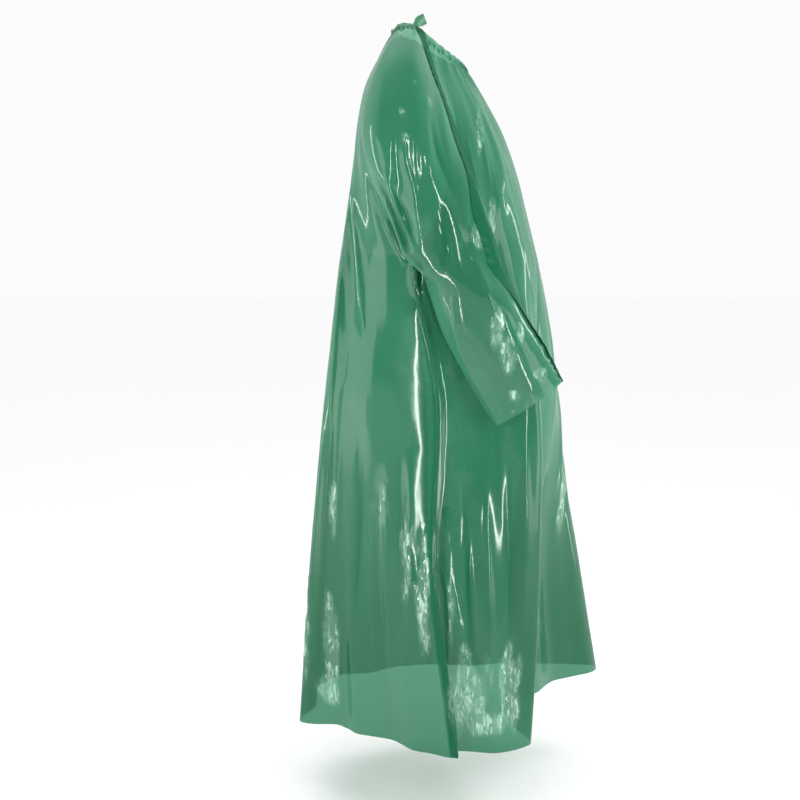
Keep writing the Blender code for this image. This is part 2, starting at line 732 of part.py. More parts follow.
def knot_object(back, surface, collection):
    """Make the knot: a small rounded lump that lies on the lapped back at the nape."""
    middle = sum(OUTER_STEPS) + sum(BACK_STEPS)
    top = back.points[back.blocks["yoke"][0][middle]]
    under = back.points[back.blocks["yoke"][1][middle]]
    down = (under - top).normalized()
    out = neck_offset(back, middle).normalized()
    place = top + down * KNOT_SIZE.z + out * (KNOT_SIZE.y + KNOT_CLEAR)
    bpy.ops.mesh.primitive_uv_sphere_add(segments=KNOT_SEGMENTS, ring_count=KNOT_RINGS, radius=1.0)
    made = bpy.context.active_object
    made.name = "tie_knot"
    turn = out.to_track_quat("Y", "Z").to_matrix().to_4x4()
    made.data.transform(Matrix.Translation(place) @ turn @ Matrix.Diagonal((*KNOT_SIZE, 1.0)))
    made.data.shade_smooth()
    made.data.materials.append(surface)
    for home in list(made.users_collection):
        home.objects.unlink(made)
    collection.objects.link(made)
    return made


def material(name, finish):
    """Return a plain surface of one finish."""
    made = bpy.data.materials.new(name)
    made.use_nodes = True
    shader = made.node_tree.nodes["Principled BSDF"]
    shader.inputs["Base Color"].default_value = finish.colour
    shader.inputs["Roughness"].default_value = finish.roughness
    shader.inputs["Metallic"].default_value = finish.metallic
    return made


def film_object(panel, surface, collection):
    """Make the panel's mesh, with its wall laid inwards by Solidify."""
    mesh = bpy.data.meshes.new(panel.name)
    mesh.from_pydata([tuple(point) for point in panel.points], [], panel.faces)
    mesh.update()
    mesh.shade_smooth()
    made = bpy.data.objects.new(panel.name, mesh)
    made.data.materials.append(surface)
    collection.objects.link(made)
    wall = made.modifiers.new("wall", "SOLIDIFY")
    wall.thickness = WALL
    wall.offset = -1.0
    wall.use_even_offset = False
    return made


def main():
    """Build the gown."""
    for existing in list(bpy.data.objects):
        bpy.data.objects.remove(existing, do_unlink=True)
    collection = bpy.data.collections.new(COLLECTION)
    bpy.context.scene.collection.children.link(collection)
    film = material("green_film", FILM)
    front = build_front()
    backs = {"r": build_back("r"), "l": build_back("l")}
    weld(front, backs)
    for panel in (front, *backs.values()):
        film_object(panel, film, collection)
    ties = material("tie_film", TIE_FILM)
    strip_object("neck_tie_right", tie_right_rows(backs["r"]), ties, collection)
    strip_object("neck_tie_left", tie_left_rows(backs["r"]), ties, collection)
    knot_object(backs["r"], ties, collection)


if __name__ == "__main__":
    main()
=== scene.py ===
"""Looks of the calving gown: thin, glossy, see-through green film in its worn, hollow form.

+Z up. The gown faces -Y and its right side is -X. The film pieces repeat the rings of the
solids that they replace at a finer pitch, and carry the creases, puckers and crumpled
patches of the film. Tables of places are in millimetres, and all the rest is in metres.
"""
import logging
import math
from dataclasses import dataclass
from enum import Enum
from typing import Iterable, NamedTuple, Sequence

import bpy
import numpy as np
from mathutils import Euler, Matrix, Vector

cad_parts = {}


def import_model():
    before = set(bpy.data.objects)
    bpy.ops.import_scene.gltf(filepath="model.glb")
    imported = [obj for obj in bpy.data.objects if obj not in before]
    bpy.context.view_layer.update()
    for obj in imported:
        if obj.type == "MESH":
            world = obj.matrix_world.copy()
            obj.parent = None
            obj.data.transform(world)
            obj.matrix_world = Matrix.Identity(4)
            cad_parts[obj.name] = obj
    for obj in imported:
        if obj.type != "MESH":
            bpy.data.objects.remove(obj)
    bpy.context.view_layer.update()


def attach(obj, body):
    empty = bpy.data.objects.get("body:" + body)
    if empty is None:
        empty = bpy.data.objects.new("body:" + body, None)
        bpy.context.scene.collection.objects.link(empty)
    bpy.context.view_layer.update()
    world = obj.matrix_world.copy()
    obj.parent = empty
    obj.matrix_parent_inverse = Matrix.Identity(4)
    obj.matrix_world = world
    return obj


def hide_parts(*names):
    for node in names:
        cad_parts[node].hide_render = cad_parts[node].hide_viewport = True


LOG = logging.getLogger("calving_gown")
UP = Vector((0.0, 0.0, 1.0))


class Side(Enum):
    """Side of the gown, as the wearer has it."""

    RIGHT = "r"
    LEFT = "l"


class Face(Enum):
    """Which way a stretch of film looks: a crease is laid out on the plane it looks along."""

    NEAR = (-1.0, 0.0)
    FAR = (1.0, 0.0)
    FRONT = (0.0, -1.0)
    BACK = (0.0, 1.0)


MM = 1000.0
# Stations of the yoke's right half, from the front round to the back. Each has its X, Y, Z
# in the rings of neckline, collar bones, shoulder points, upper arms, above the underarms
# and underarms.
YOKE = {
    "centre_front": ((0, -62, -54), (0, -97, -114), (0, -130, -181), (0, -157, -252),
        (0, -180, -335), (0, -200, -415)),
    "chest": ((-29, -53, -49), (-42, -85, -108), (-55, -115, -175), (-68, -142, -248),
        (-78, -163, -333), (-85, -183, -413)),
    "chest_side": ((-52, -34, -38), (-75, -60, -97), (-98, -88, -163), (-122, -112, -243),
        (-140, -128, -330), (-148, -145, -410)),
    "pit_front": ((-73, -6, -20), (-108, -16, -82), (-143, -36, -149), (-171, -42, -238),
        (-190, -18, -328), (-198, 32, -405)),
    "inner_arm": ((-77, 4, -12), (-118, -11, -80), (-155, -32, -148), (-187, -50, -238),
        (-211, -52, -331), (-221, -45, -414)),
    "top_weld": ((-79, 13, -5), (-126, -5, -78), (-167, -27, -148), (-205, -56, -238),
        (-234, -90, -335), (-249, -118, -425)),
    "outer_arm": ((-78, 32, 6), (-150, 32, -30), (-215, 34, -82), (-262, 24, -180),
        (-287, -2, -295), (-295, -30, -408)),
    "rear_arm": ((-66, 48, 10), (-130, 74, -34), (-192, 92, -98), (-240, 96, -190),
        (-262, 78, -305), (-264, 52, -404)),
    "pit_back": ((-47, 56, 12), (-100, 84, -38), (-146, 111, -103), (-184, 126, -198),
        (-196, 96, -310), (-198, 32, -405)),
    "blade": ((-25, 61, 12), (-58, 91, -43), (-78, 117, -105), (-85, 132, -195), (-89, 145, -300),
        (-90, 159, -400)),
    "centre_back": ((0, 62, 12), (0, 89, -45), (0, 111, -105), (0, 124, -195), (0, 136, -300),
        (0, 150, -400)),
}
UNDERARMS = len(YOKE["centre_front"]) - 1

# Stations of the skirt, from the right side weld round. Each has its X, Y in the rings of
# wrists, knees and hem, which lie level at SKIRT_Z.
SKIRT_Z = (-660, -950, -1260)
SKIRT = {
    "side_weld_r": ((-211, -6), (-238, 2), (-264, -33)),
    "tuck_r": ((-202, -24), (-220, -8), (-236, -31)),
    "side_front_r": ((-199, -100), (-220, -100), (-234, -108)),
    "near_fold": ((-190, -184), (-201, -187), (-206, -175)),
    "valley": ((-98, -178), (-80, -150), (-55, -133)),
    "centre_front": ((12, -232), (50, -206), (86, -198)),
    "chest_l": ((95, -245.5), (138, -263), (182, -288)),
    "far_fold": ((166, -226), (205, -289), (258, -347)),
    "side_front_l": ((201, -120), (243, -172), (277, -218)),
    "tuck_l": ((205, -20), (240, -35), (268, -52)),
    "side_weld_l": ((212, 12), (242, 6), (272, -4)),
    "side_back_l": ((180, 118), (196, 132), (206, 148)),
    "quarter_l": ((142, 165), (158, 183), (166, 200)),
    "blade_l": ((98, 182), (110, 203), (120, 225)),
    "centre_back": ((0, 178), (0, 197), (0, 217)),
    "blade_r": ((-86, 191), (-83, 217), (-80, 238)),
    "quarter_r": ((-126, 158), (-117, 164), (-108, 167)),
    "side_back_r": ((-170, 104), (-171, 98), (-170, 92)),
}


class SleeveRing(NamedTuple):
    """A flattened ring of the right sleeve: its two weld points, and how far it bulges."""

    top_weld: tuple
    under_weld: tuple
    outer_x: float
    inner_x: float


SLEEVE = (
    SleeveRing((-252, -139, -474), (-212, 6, -470), -301, -218.5),
    SleeveRing((-253, -163, -523), (-224, -14, -532), -302, -217.5),
    SleeveRing((-253, -184, -560), (-232, -40, -584), -299, -216.5),
    SleeveRing((-252, -199, -588), (-237, -72, -642), -292, -217),
    SleeveRing((-251, -216, -620), (-240, -106, -695), -283, -219),
)


class BodySpan(NamedTuple):
    """A station of the body that lies a share of the way between two stations of the yoke.

    Swell is how much of the side's bulge it takes up.
    """

    start: str
    end: str
    share: float
    swell: float


BODY_SPANS = {
    "tuck": BodySpan("pit_front", "chest_side", 0.14, 0.3),
    "side_front": BodySpan("pit_front", "chest_side", 0.52, 1.0),
    "side_back": BodySpan("pit_back", "blade", 0.42, 0.9),
    "quarter": BodySpan("pit_back", "blade", 0.74, 0.6),
}
SKIRT_FROM_YOKE = {
    "side_weld": "pit_front", "near_fold": "chest_side", "far_fold": "chest_side",
    "valley": "chest"}


class SoftFold(NamedTuple):
    """A ridge, or a trough where depth is negative, that runs down one block of a panel.

    Place and width are shares of the row's length. The fold rises from start to peak and
    dies away at end, which are shares of the block's height; RUNS_ON takes it past the hem.
    """

    place: float
    width: float
    depth: float
    start: float
    peak: float
    end: float

    def rise(self, share: float, height: float) -> float:
        """Return how far the fold stands out at a point.

        Args:
            share: The point's share of its row's length.
            height: The row's share of its block's height.

        Returns:
            The rise.
        """
        offset = (share - self.place) / self.width
        grown = smooth((height - self.start) / (self.peak - self.start))
        kept = 1.0 - smooth((height - self.peak) / (self.end - self.peak))
        return self.depth * grown * kept * math.exp(-offset * offset)


RUNS_ON = 9.0
SKIRT_FRONT_FOLDS = (
    SoftFold(0.10, 0.030, 0.008, 0.30, 1.0, RUNS_ON),
    SoftFold(0.16, 0.026, -0.007, 0.45, 1.0, RUNS_ON),
    SoftFold(0.30, 0.034, 0.010, 0.20, 1.0, RUNS_ON),
    SoftFold(0.38, 0.030, -0.009, 0.10, 0.9, RUNS_ON),
    SoftFold(0.47, 0.034, 0.012, 0.25, 1.0, RUNS_ON),
    SoftFold(0.55, 0.030, -0.010, 0.35, 1.0, RUNS_ON),
    SoftFold(0.64, 0.034, 0.011, 0.15, 0.8, RUNS_ON),
    SoftFold(0.84, 0.032, 0.009, 0.25, 1.0, RUNS_ON),
    SoftFold(0.91, 0.028, -0.008, 0.40, 1.0, RUNS_ON),
)
SKIRT_BACK_FOLDS = (
    SoftFold(0.16, 0.050, 0.007, 0.35, 1.0, RUNS_ON),
    SoftFold(0.30, 0.055, -0.008, 0.20, 0.9, RUNS_ON),
    SoftFold(0.44, 0.050, 0.009, 0.45, 1.0, RUNS_ON),
    SoftFold(0.58, 0.045, -0.006, 0.30, 1.0, RUNS_ON),
)
YOKE_FRONT_FOLDS = (
    SoftFold(0.27, 0.030, 0.005, 0.10, 0.55, 0.95),
    SoftFold(0.38, 0.028, -0.004, 0.05, 0.35, 0.85),
    SoftFold(0.50, 0.030, 0.004, 0.10, 0.40, 0.95),
    SoftFold(0.61, 0.028, -0.004, 0.05, 0.45, 0.90),
    SoftFold(0.73, 0.030, 0.005, 0.15, 0.60, 0.95),
)
YOKE_BACK_FOLDS = (
    SoftFold(0.14, 0.030, -0.004, 0.20, 0.65, 1.00),
    SoftFold(0.24, 0.034, 0.005, 0.30, 0.70, 1.00),
    SoftFold(0.34, 0.030, -0.005, 0.35, 0.75, 1.00),
    SoftFold(0.55, 0.030, -0.006, 0.40, 0.80, 1.00),
    SoftFold(0.70, 0.030, 0.004, 0.25, 0.60, 1.00),
)
SLEEVE_FOLDS = (
    SoftFold(0.22, 0.110, 0.004, 0.05, 0.35, 0.80),
    SoftFold(0.46, 0.100, -0.005, 0.10, 0.45, 0.95),
    SoftFold(0.70, 0.110, 0.004, 0.00, 0.25, 0.70),
)


LEAST_STEP = 1e-6


class Ripple(NamedTuple):
    """A small even swing: its size, how quickly it turns, and where it starts."""

    size: float
    rate: float
    start: float = 0.0

    def at(self, run: float) -> float:
        """Return the swing at a distance or an angle."""
        return self.size * math.sin(run * self.rate + self.start)


def smooth(share: float) -> float:
    """Ease from 0 to 1."""
    share = min(max(share, 0.0), 1.0)
    return share * share * (3.0 - 2.0 * share)


def ease(shares: np.ndarray) -> np.ndarray:
    """Ease an array from 0 to 1."""
    held = np.clip(shares, 0.0, 1.0)
    return held * held * (3.0 - 2.0 * held)


def metres(point: Sequence[float]) -> Vector:
    """Return a point of a table in metres."""
    return Vector([value / MM for value in point])


def mirrored(point: Vector) -> Vector:
    """Return the point on the other side of the gown."""
    return Vector((-point.x, point.y, point.z))


def radial(point: Vector) -> Vector:
    """Return the level way from the gown's upright axis to a point."""
    return Vector((point.x, point.y, 0.0))


def turned_out(way: Vector, point: Vector) -> Vector:
    """Return a direction at a point, turned round where it looks into the gown."""
    return way if way.dot(radial(point)) > 0.0 else -way


def runs_along(line: Sequence[Vector]) -> list[float]:
    """Return the length of a line up to each of its points.

    Args:
        line: The line's points.

    Returns:
        The lengths, from 0 on.
    """
    runs = [0.0]
    for here, there in zip(line, line[1:]):
        runs.append(runs[-1] + (there - here).length)
    return runs


def curve_point(before: Vector, start: Vector, end: Vector, after: Vector, share: float) -> Vector:
    """Return the point at a share of the centripetal curve between start and end.

    Args:
        before: Point that steers the curve before start.
        start: Where the stretch starts.
        end: Where the stretch ends.
        after: Point that steers the curve past end.
        share: How far along the stretch, from 0 to 1.

    Returns:
        The point on the curve.
    """
    knots = [0.0]
    for here, there in ((before, start), (start, end), (end, after)):
        knots.append(knots[-1] + max((there - here).length, LEAST_STEP) ** 0.5)
    t = knots[1] + share * (knots[2] - knots[1])

    def mix(a: Vector, b: Vector, first: int, last: int) -> Vector:
        """Return the point between a and b at the curve's own t."""
        ta, tb = knots[first], knots[last]
        return a * ((tb - t) / (tb - ta)) + b * ((t - ta) / (tb - ta))

    a1, a2, a3 = mix(before, start, 0, 1), mix(start, end, 1, 2), mix(end, after, 2, 3)
    return mix(mix(a1, a2, 0, 2), mix(a2, a3, 1, 3), 1, 2)


def through(points: Sequence[Vector], steps: Sequence[int]) -> list[Vector]:
    """Sample the curve through all but the first and last points, which only steer it.

    Args:
        points: The points.
        steps: How many steps to take between each two of them.

    Returns:
        The samples.
    """
    row = [curve_point(*points[index:index + 4], step / count)
           for index, count in enumerate(steps) for step in range(count)]
    return row + [points[-2].copy()]


def along(line: Sequence[Vector], place: float) -> Vector:
    """Return the point at a place, in ring numbers, on a line of one station.

    Args:
        line: The station's point in each ring.
        place: The place, in ring numbers.

    Returns:
        The point.
    """
    ends = [2 * line[0] - line[1], *line, 2 * line[-1] - line[-2]]
    index = min(int(place), len(line) - 2)
    return curve_point(*ends[index:index + 4], place - index)


def deselect() -> None:
    """Let go of every selected thing."""
    for item in bpy.context.selected_objects:
        item.select_set(False)


def placed(name: str, data: bpy.types.ID) -> bpy.types.Object:
    """Put a mesh, a light or a camera into the scene under a name."""
    made = bpy.data.objects.new(name, data)
    bpy.context.scene.collection.objects.link(made)
    return made


@dataclass
class GownForm:
    """The gown's surface: rows through the ring tables, at a given pitch.

    The steps are those of the solids between their stations, and across multiplies them.
    The inner, outer and rear shares say how far a sleeve's stations lie from its top weld
    to its under weld. Settling is how far below the underarms a row is steered by the yoke.
    """

    across: int = 6
    yoke_rows: int = 92
    skirt_rows: int = 190
    sleeve_rows: int = 60
    arm_steps: tuple = (3, 3)
    front_steps: tuple = (2, 3, 4, 3, 3, 3, 3, 4, 3, 2)
    outer_steps: tuple = (4, 3, 3)
    back_steps: tuple = (3, 3, 3, 3)
    lap_share: float = 0.36
    lap_steps: int = 2
    lap_lift: float = 0.0022
    lap_calm: float = 0.014
    casing: float = 0.019
    neck_gathers: int = 28
    gather_depth: float = 0.0018
    gather_fade: float = 1.5
    gather_sway: Ripple = Ripple(1.3, 3.0)
    side_bulge: float = -0.012
    inner_share: float = 0.50
    outer_share: float = 0.34
    rear_share: float = 0.74
    rear_draw: float = 0.010
    skirt_settle: float = 0.5
    sleeve_settle: float = 1.5

    @property
    def centre_column(self) -> int:
        """Number of the column that runs down the centre back."""
        return sum(self.fine(self.outer_steps + self.back_steps))

    def fine(self, steps: Sequence[int]) -> list[int]:
        """Return the steps between stations at this form's pitch."""
        return [count * self.across for count in steps]

    def places(self, block: str) -> list[float]:
        """Return the places of a block's rows, in ring numbers; only the yoke has one at 0.

        Args:
            block: The block: yoke, skirt or sleeve.

        Returns:
            The places.
        """
        rows, rings = {"yoke": (self.yoke_rows, UNDERARMS),
                       "skirt": (self.skirt_rows, len(SKIRT_Z)),
                       "sleeve": (self.sleeve_rows, len(SLEEVE))}[block]
        return [rings * step / rows for step in range(0 if block == "yoke" else 1, rows + 1)]

    def yoke_station(self, name: str, place: float) -> Vector:
        """Return a right-hand station of the yoke at a place in ring numbers.

        Args:
            name: The station.
            place: The place, in ring numbers.

        Returns:
            The point.
        """
        if name in BODY_SPANS:
            span = BODY_SPANS[name]
            start, end = (self.yoke_station(end, place) for end in (span.start, span.end))
            bulge = Vector((self.side_bulge, 0.0, 0.0)) * (place / UNDERARMS)
            return start.lerp(end, span.share) + bulge * span.swell
        source = SKIRT_FROM_YOKE.get(name, name)
        return along([metres(point) for point in YOKE[source]], place)

    def skirt_station(self, name: str, place: float) -> Vector:
        """Return a skirt station; place 0 is the underarm ring and 1 the first skirt ring.

        Args:
            name: The station.
            place: The place, in ring numbers.

        Returns:
            The point.
        """
        base = name[:-2] if name.endswith(("_r", "_l")) else name
        turn = mirrored if name.endswith("_l") or name == "far_fold" else Vector
        above = [turn(self.yoke_station(base, ring)) for ring in (UNDERARMS - 1, UNDERARMS)]
        below = [metres((*point, z)) for point, z in zip(SKIRT[name], SKIRT_Z)]
        return along(above + below, place + 1)

    def sleeve_station(self, name: str, place: float) -> Vector:
        """Return a right sleeve station; place 0 is the underarm ring.

        Args:
            name: The station.
            place: The place, in ring numbers.

        Returns:
            The point.
        """
        source = "pit_back" if name == "under_weld" else name
        above = [self.yoke_station(source, ring) for ring in (UNDERARMS - 1, UNDERARMS)]
        return along(above + [self.ring_station(name, ring) for ring in SLEEVE], place + 1)

    def ring_station(self, name: str, ring: SleeveRing) -> Vector:
        """Return a station of a sleeve ring: a weld point, or one of the bulges between.

        Args:
            name: The station.
            ring: The sleeve ring.

        Returns:
            The point.
        """
        if name in ("top_weld", "under_weld"):
            return metres(getattr(ring, name))
        share, bulge = {"inner_arm": (self.inner_share, ring.inner_x / MM),
                        "outer_arm": (self.outer_share, ring.outer_x / MM),
                        "rear_arm": (self.rear_share, ring.outer_x / MM + self.rear_draw)}[name]
        point = metres(ring.top_weld).lerp(metres(ring.under_weld), share)
        return Vector((bulge, point.y, point.z))

    def gathered(self, row: list[Vector], place: float) -> list[Vector]:
        """Ripple a yoke row near the neckline, where the ties draw it in, but not at the lap.

        Args:
            row: The row's points, which are moved.
            place: The place, in ring numbers.

        Returns:
            The same row.
        """
        depth = self.gather_depth * (1.0 - smooth(place / self.gather_fade))
        for point in row if depth > 0.0 else ():
            arm = radial(point)
            turn = math.atan2(arm.y, arm.x)
            calm = smooth(abs(point.x) / self.lap_calm - 1.0) if point.y > 0.0 else 1.0
            wave = math.sin(self.neck_gathers * turn + self.gather_sway.at(turn))
            point += arm.normalized() * depth * calm * wave
        return row

    def folded(self, row: list[Vector], folds: Sequence[SoftFold], height: float,
               turn: float = 1.0) -> list[Vector]:
        """Push a row out along its folds; its ends stay in place.

        Args:
            row: The row's points.
            folds: The folds that cross it.
            height: The row's share of its block's height.
            turn: 1 where outwards is to the right of the row's run, and -1 to the left.

        Returns:
            The folded row.
        """
        runs = runs_along(row)
        moved = [row[0]]
        for index in range(1, len(row) - 1):
            outward = (row[index + 1] - row[index - 1]).cross(UP).normalized() * turn
            shift = sum(fold.rise(runs[index] / runs[-1], height) for fold in folds)
            moved.append(row[index] + outward * shift)
        return moved + [row[-1]]

    def lapped(self, points: Sequence[Vector], steps: Sequence[int]) -> list[Vector]:
        """Sample a back row whose last three points are the centre and two past it.

        Args:
            points: The row's stations.
            steps: The steps between them.

        Returns:
            The row.
        """
        count = self.lap_steps * self.across
        return through(points[:-1], self.fine(steps)) + [
            curve_point(*points[-4:], self.lap_share * step / count)
            for step in range(1, count + 1)]

    def yoke_front_row(self, place: float) -> list[Vector]:
        """Return a yoke row of the front, from the right top weld to the left one.

        Args:
            place: The place, in ring numbers.

        Returns:
            The row.
        """
        half = [self.yoke_station(name, place) for name in (
            "outer_arm", "top_weld", "inner_arm", "pit_front", "tuck", "side_front",
            "chest_side", "chest", "centre_front")]
        steps = self.arm_steps + self.front_steps + self.arm_steps[::-1]
        row = through(half + [mirrored(point) for point in half[-2::-1]], self.fine(steps))
        return self.gathered(self.folded(row, YOKE_FRONT_FOLDS, place / UNDERARMS), place)

    def yoke_back_row(self, place: float) -> list[Vector]:
        """Return a yoke row of the right back, from the top weld to past the centre back.

        Args:
            place: The place, in ring numbers.

        Returns:
            The row.
        """
        row = [self.yoke_station(name, place) for name in (
            "inner_arm", "top_weld", "outer_arm", "rear_arm", "pit_back", "side_back",
            "quarter", "blade", "centre_back")]
        row = self.lapped(row + [mirrored(point) for point in (row[-2], row[-3])],
                          self.outer_steps + self.back_steps)
        return self.folded(row, YOKE_BACK_FOLDS, place / UNDERARMS, -1.0)

    def skirt_front_row(self, place: float) -> list[Vector]:
        """Return a skirt row of the front, from the right side weld to the left one.

        Args:
            place: The place, in ring numbers.

        Returns:
            The row.
        """
        points = [self.skirt_station(name, place) for name in (
            "side_weld_r", "tuck_r", "side_front_r", "near_fold", "valley", "centre_front",
            "chest_l", "far_fold", "side_front_l", "tuck_l", "side_weld_l")]
        settle = smooth(place / self.skirt_settle)
        arm = self.yoke_station("inner_arm", UNDERARMS)
        before = arm.lerp(self.skirt_station("side_back_r", place), settle)
        after = mirrored(arm).lerp(self.skirt_station("side_back_l", place), settle)
        row = through([before, *points, after], self.fine(self.front_steps))
        return self.folded(row, SKIRT_FRONT_FOLDS, self.fall(place))

    def skirt_back_row(self, place: float, side: Side) -> list[Vector]:
        """Return a skirt row of one back half.

        Args:
            place: The row's place in skirt ring numbers.
            side: Which half it is.

        Returns:
            The row, from its side weld to past the centre back.
        """
        own, other = ("r", "l") if side is Side.RIGHT else ("l", "r")
        turn, face = (Vector, -1.0) if side is Side.RIGHT else (mirrored, 1.0)
        names = [f"{name}_{own}" for name in ("side_weld", "side_back", "quarter", "blade")]
        names += ["centre_back", f"blade_{other}", f"quarter_{other}"]
        arm = turn(self.yoke_station("rear_arm", UNDERARMS))
        before = arm.lerp(self.skirt_station(f"tuck_{own}", place),
                          smooth(place / self.skirt_settle))
        points = [self.skirt_station(name, place) for name in names]
        row = self.lapped([before, *points], self.back_steps)
        return self.folded(row, SKIRT_BACK_FOLDS, self.fall(place), face)

    def fall(self, place: float) -> float:
        """Return the share of the skirt's height that lies above a place."""
        top, hem = YOKE["centre_front"][-1][2] / MM, SKIRT_Z[-1] / MM
        return (top - self.skirt_station("centre_front", place).z) / (top - hem)

    def sleeve_row(self, place: float, outer: bool) -> list[Vector]:
        """Return a right sleeve row from the top weld to the under weld.

        Args:
            place: The row's place in sleeve ring numbers.
            outer: Whether it is the outer half, which is cut in one with the back.

        Returns:
            The row.
        """
        top, under, inner, near, rear = (self.sleeve_station(name, place) for name in (
            "top_weld", "under_weld", "inner_arm", "outer_arm", "rear_arm"))
        body = self.yoke_station("side_back" if outer else "tuck", UNDERARMS)
        settle = smooth(place / self.sleeve_settle)
        if outer:
            points = [inner, top, near, rear, under, body.lerp(inner, settle)]
        else:
            points = [near, top, inner, under, body.lerp(rear, settle)]
        row = through(points, self.fine(self.outer_steps if outer else self.arm_steps))
        return self.folded(row, SLEEVE_FOLDS, place / len(SLEEVE), -1.0 if outer else 1.0)


class Crease(NamedTuple):
    """A soft ridge, or a trough where depth is negative, along a line on the film.

    The line's points are (Y, Z) on the near and far faces and (X, Z) on front and back.
    """

    line: tuple
    width: float
    depth: float


class Crumple(NamedTuple):
    """A patch of film crumpled into small facets. The centre is laid out as a crease is."""

    centre: tuple
    reach: tuple
    depth: float
    grain: float


CREASES = {
    Face.NEAR: (
        # Back edge of the near side, shoulder blade to hem.
        Crease(((140, -300), (130, -420), (119, -560)), 4, 4),
        Crease(((170, -330), (158, -450), (152, -540)), 5, -3),
        Crease(((155, -620), (165, -800), (175, -1020)), 7, 4),
        Crease(((176, -700), (198, -980), (215, -1250)), 5, 6),
        Crease(((130, -700), (128, -860), (140, -1100)), 8, -4),
        # Panel behind the side weld.
        Crease(((86, -800), (78, -980), (70, -1180)), 6, 5),
        Crease(((60, -720), (52, -900), (58, -1080)), 5, -4),
        Crease(((36, -740), (40, -950), (22, -1200)), 6, 5),
        Crease(((50, -880), (20, -1020), (4, -1120)), 5, 4),
        # Front of the side weld.
        Crease(((-20, -840), (-32, -1000), (-28, -1140)), 6, 5),
        Crease(((-10, -920), (-34, -1010), (-60, -1090)), 4, 5),
        Crease(((104, -840), (104, -1000), (94, -1220)), 3, 5),
        Crease(((-52, -780), (-60, -960), (-72, -1160)), 7, -5),
        Crease(((-88, -760), (-96, -980), (-104, -1220)), 6, 5),
        Crease(((-130, -700), (-132, -920), (-138, -1160)), 7, -4),
        Crease(((-160, -620), (-162, -840), (-158, -1100)), 6, 4),
        # Sleeve: long pulls from the shoulder to the cuff.
        Crease(((48, -228), (30, -310), (20, -400)), 5, 4),
        Crease(((-12, -320), (-18, -400), (-10, -440)), 6, -4.5),
        Crease(((-26, -480), (-44, -560), (-60, -604)), 4, 4),
        Crease(((-60, -390), (-86, -462), (-104, -520)), 5, 4.5),
        Crease(((10, -160), (-10, -240), (-40, -330)), 8, -5),
        Crease(((30, -130), (45, -200), (50, -280)), 8, 4),
        Crease(((-60, -200), (-74, -280), (-100, -370)), 6, 4.5),
        # Pulls of the shoulder.
        Crease(((83, -65), (90, -150), (95, -230)), 8, 2.4),
        Crease(((65, -120), (70, -220), (72, -312)), 6, 3),
        Crease(((36, -150), (31, -230), (29, -300)), 5, -2.6),
        Crease(((13, -110), (10, -180), (6, -270)), 5, 2.8),
        Crease(((-10, -130), (-20, -210), (-34, -300)), 6, 2.8),
        Crease(((-75, -110), (-86, -190), (-104, -300)), 5, 3),
        # Pleats of the armpit.
        Crease(((101, -290), (72, -366), (46, -424)), 5, 6),
        Crease(((104, -270), (72, -345), (38, -412)), 9, -9),
        Crease(((86, -262), (60, -330), (36, -388)), 4, 5),
        Crease(((70, -290), (50, -345), (30, -392)), 6, -7),
        Crease(((30, -405), (24, -440), (20, -480)), 6, -7),
    ),
    Face.FRONT: (
        Crease(((-110, -300), (-120, -520), (-150, -800)), 7, 5),
        Crease(((-50, -360), (-60, -600), (-80, -940)), 8, -5),
        Crease(((20, -260), (20, -500), (30, -760)), 7, 4.5),
        Crease(((80, -340), (100, -620), (120, -980)), 8, 5.5),
        Crease(((50, -800), (60, -1000), (90, -1240)), 7, -5),
        Crease(((140, -440), (160, -700), (180, -1020)), 6, -4.5),
        Crease(((-20, -880), (-20, -1060), (-10, -1240)), 7, 5),
        Crease(((-150, -720), (-160, -920), (-160, -1200)), 6, 4.5),
    ),
    Face.BACK: (
        Crease(((-100, -220), (-100, -460), (-110, -740)), 7, 4.5),
        Crease(((-50, -300), (-60, -560), (-70, -900)), 8, -4),
        Crease(((50, -260), (60, -500), (80, -820)), 7, 4.5),
        Crease(((110, -340), (120, -620), (150, -960)), 7, -4.5),
        Crease(((-30, -700), (-20, -920), (-40, -1180)), 7, 4.5),
        Crease(((100, -860), (120, -1040), (130, -1240)), 6, 4.5),
    ),
    Face.FAR: (
        Crease(((130, -300), (120, -500), (126, -760)), 6, 4.5),
        Crease(((78, -740), (72, -940), (80, -1180)), 7, 5),
        Crease(((34, -800), (28, -1000), (40, -1220)), 6, -4.5),
        Crease(((-60, -700), (-80, -940), (-110, -1200)), 7, 5),
        Crease(((-130, -660), (-150, -900), (-190, -1200)), 7, -5),
        Crease(((40, -160), (30, -290), (10, -410)), 6, 4.5),
        Crease(((-20, -460), (-46, -545), (-70, -610)), 5, 4),
        Crease(((-50, -220), (-78, -320), (-110, -440)), 6, -4.5),
    ),
}

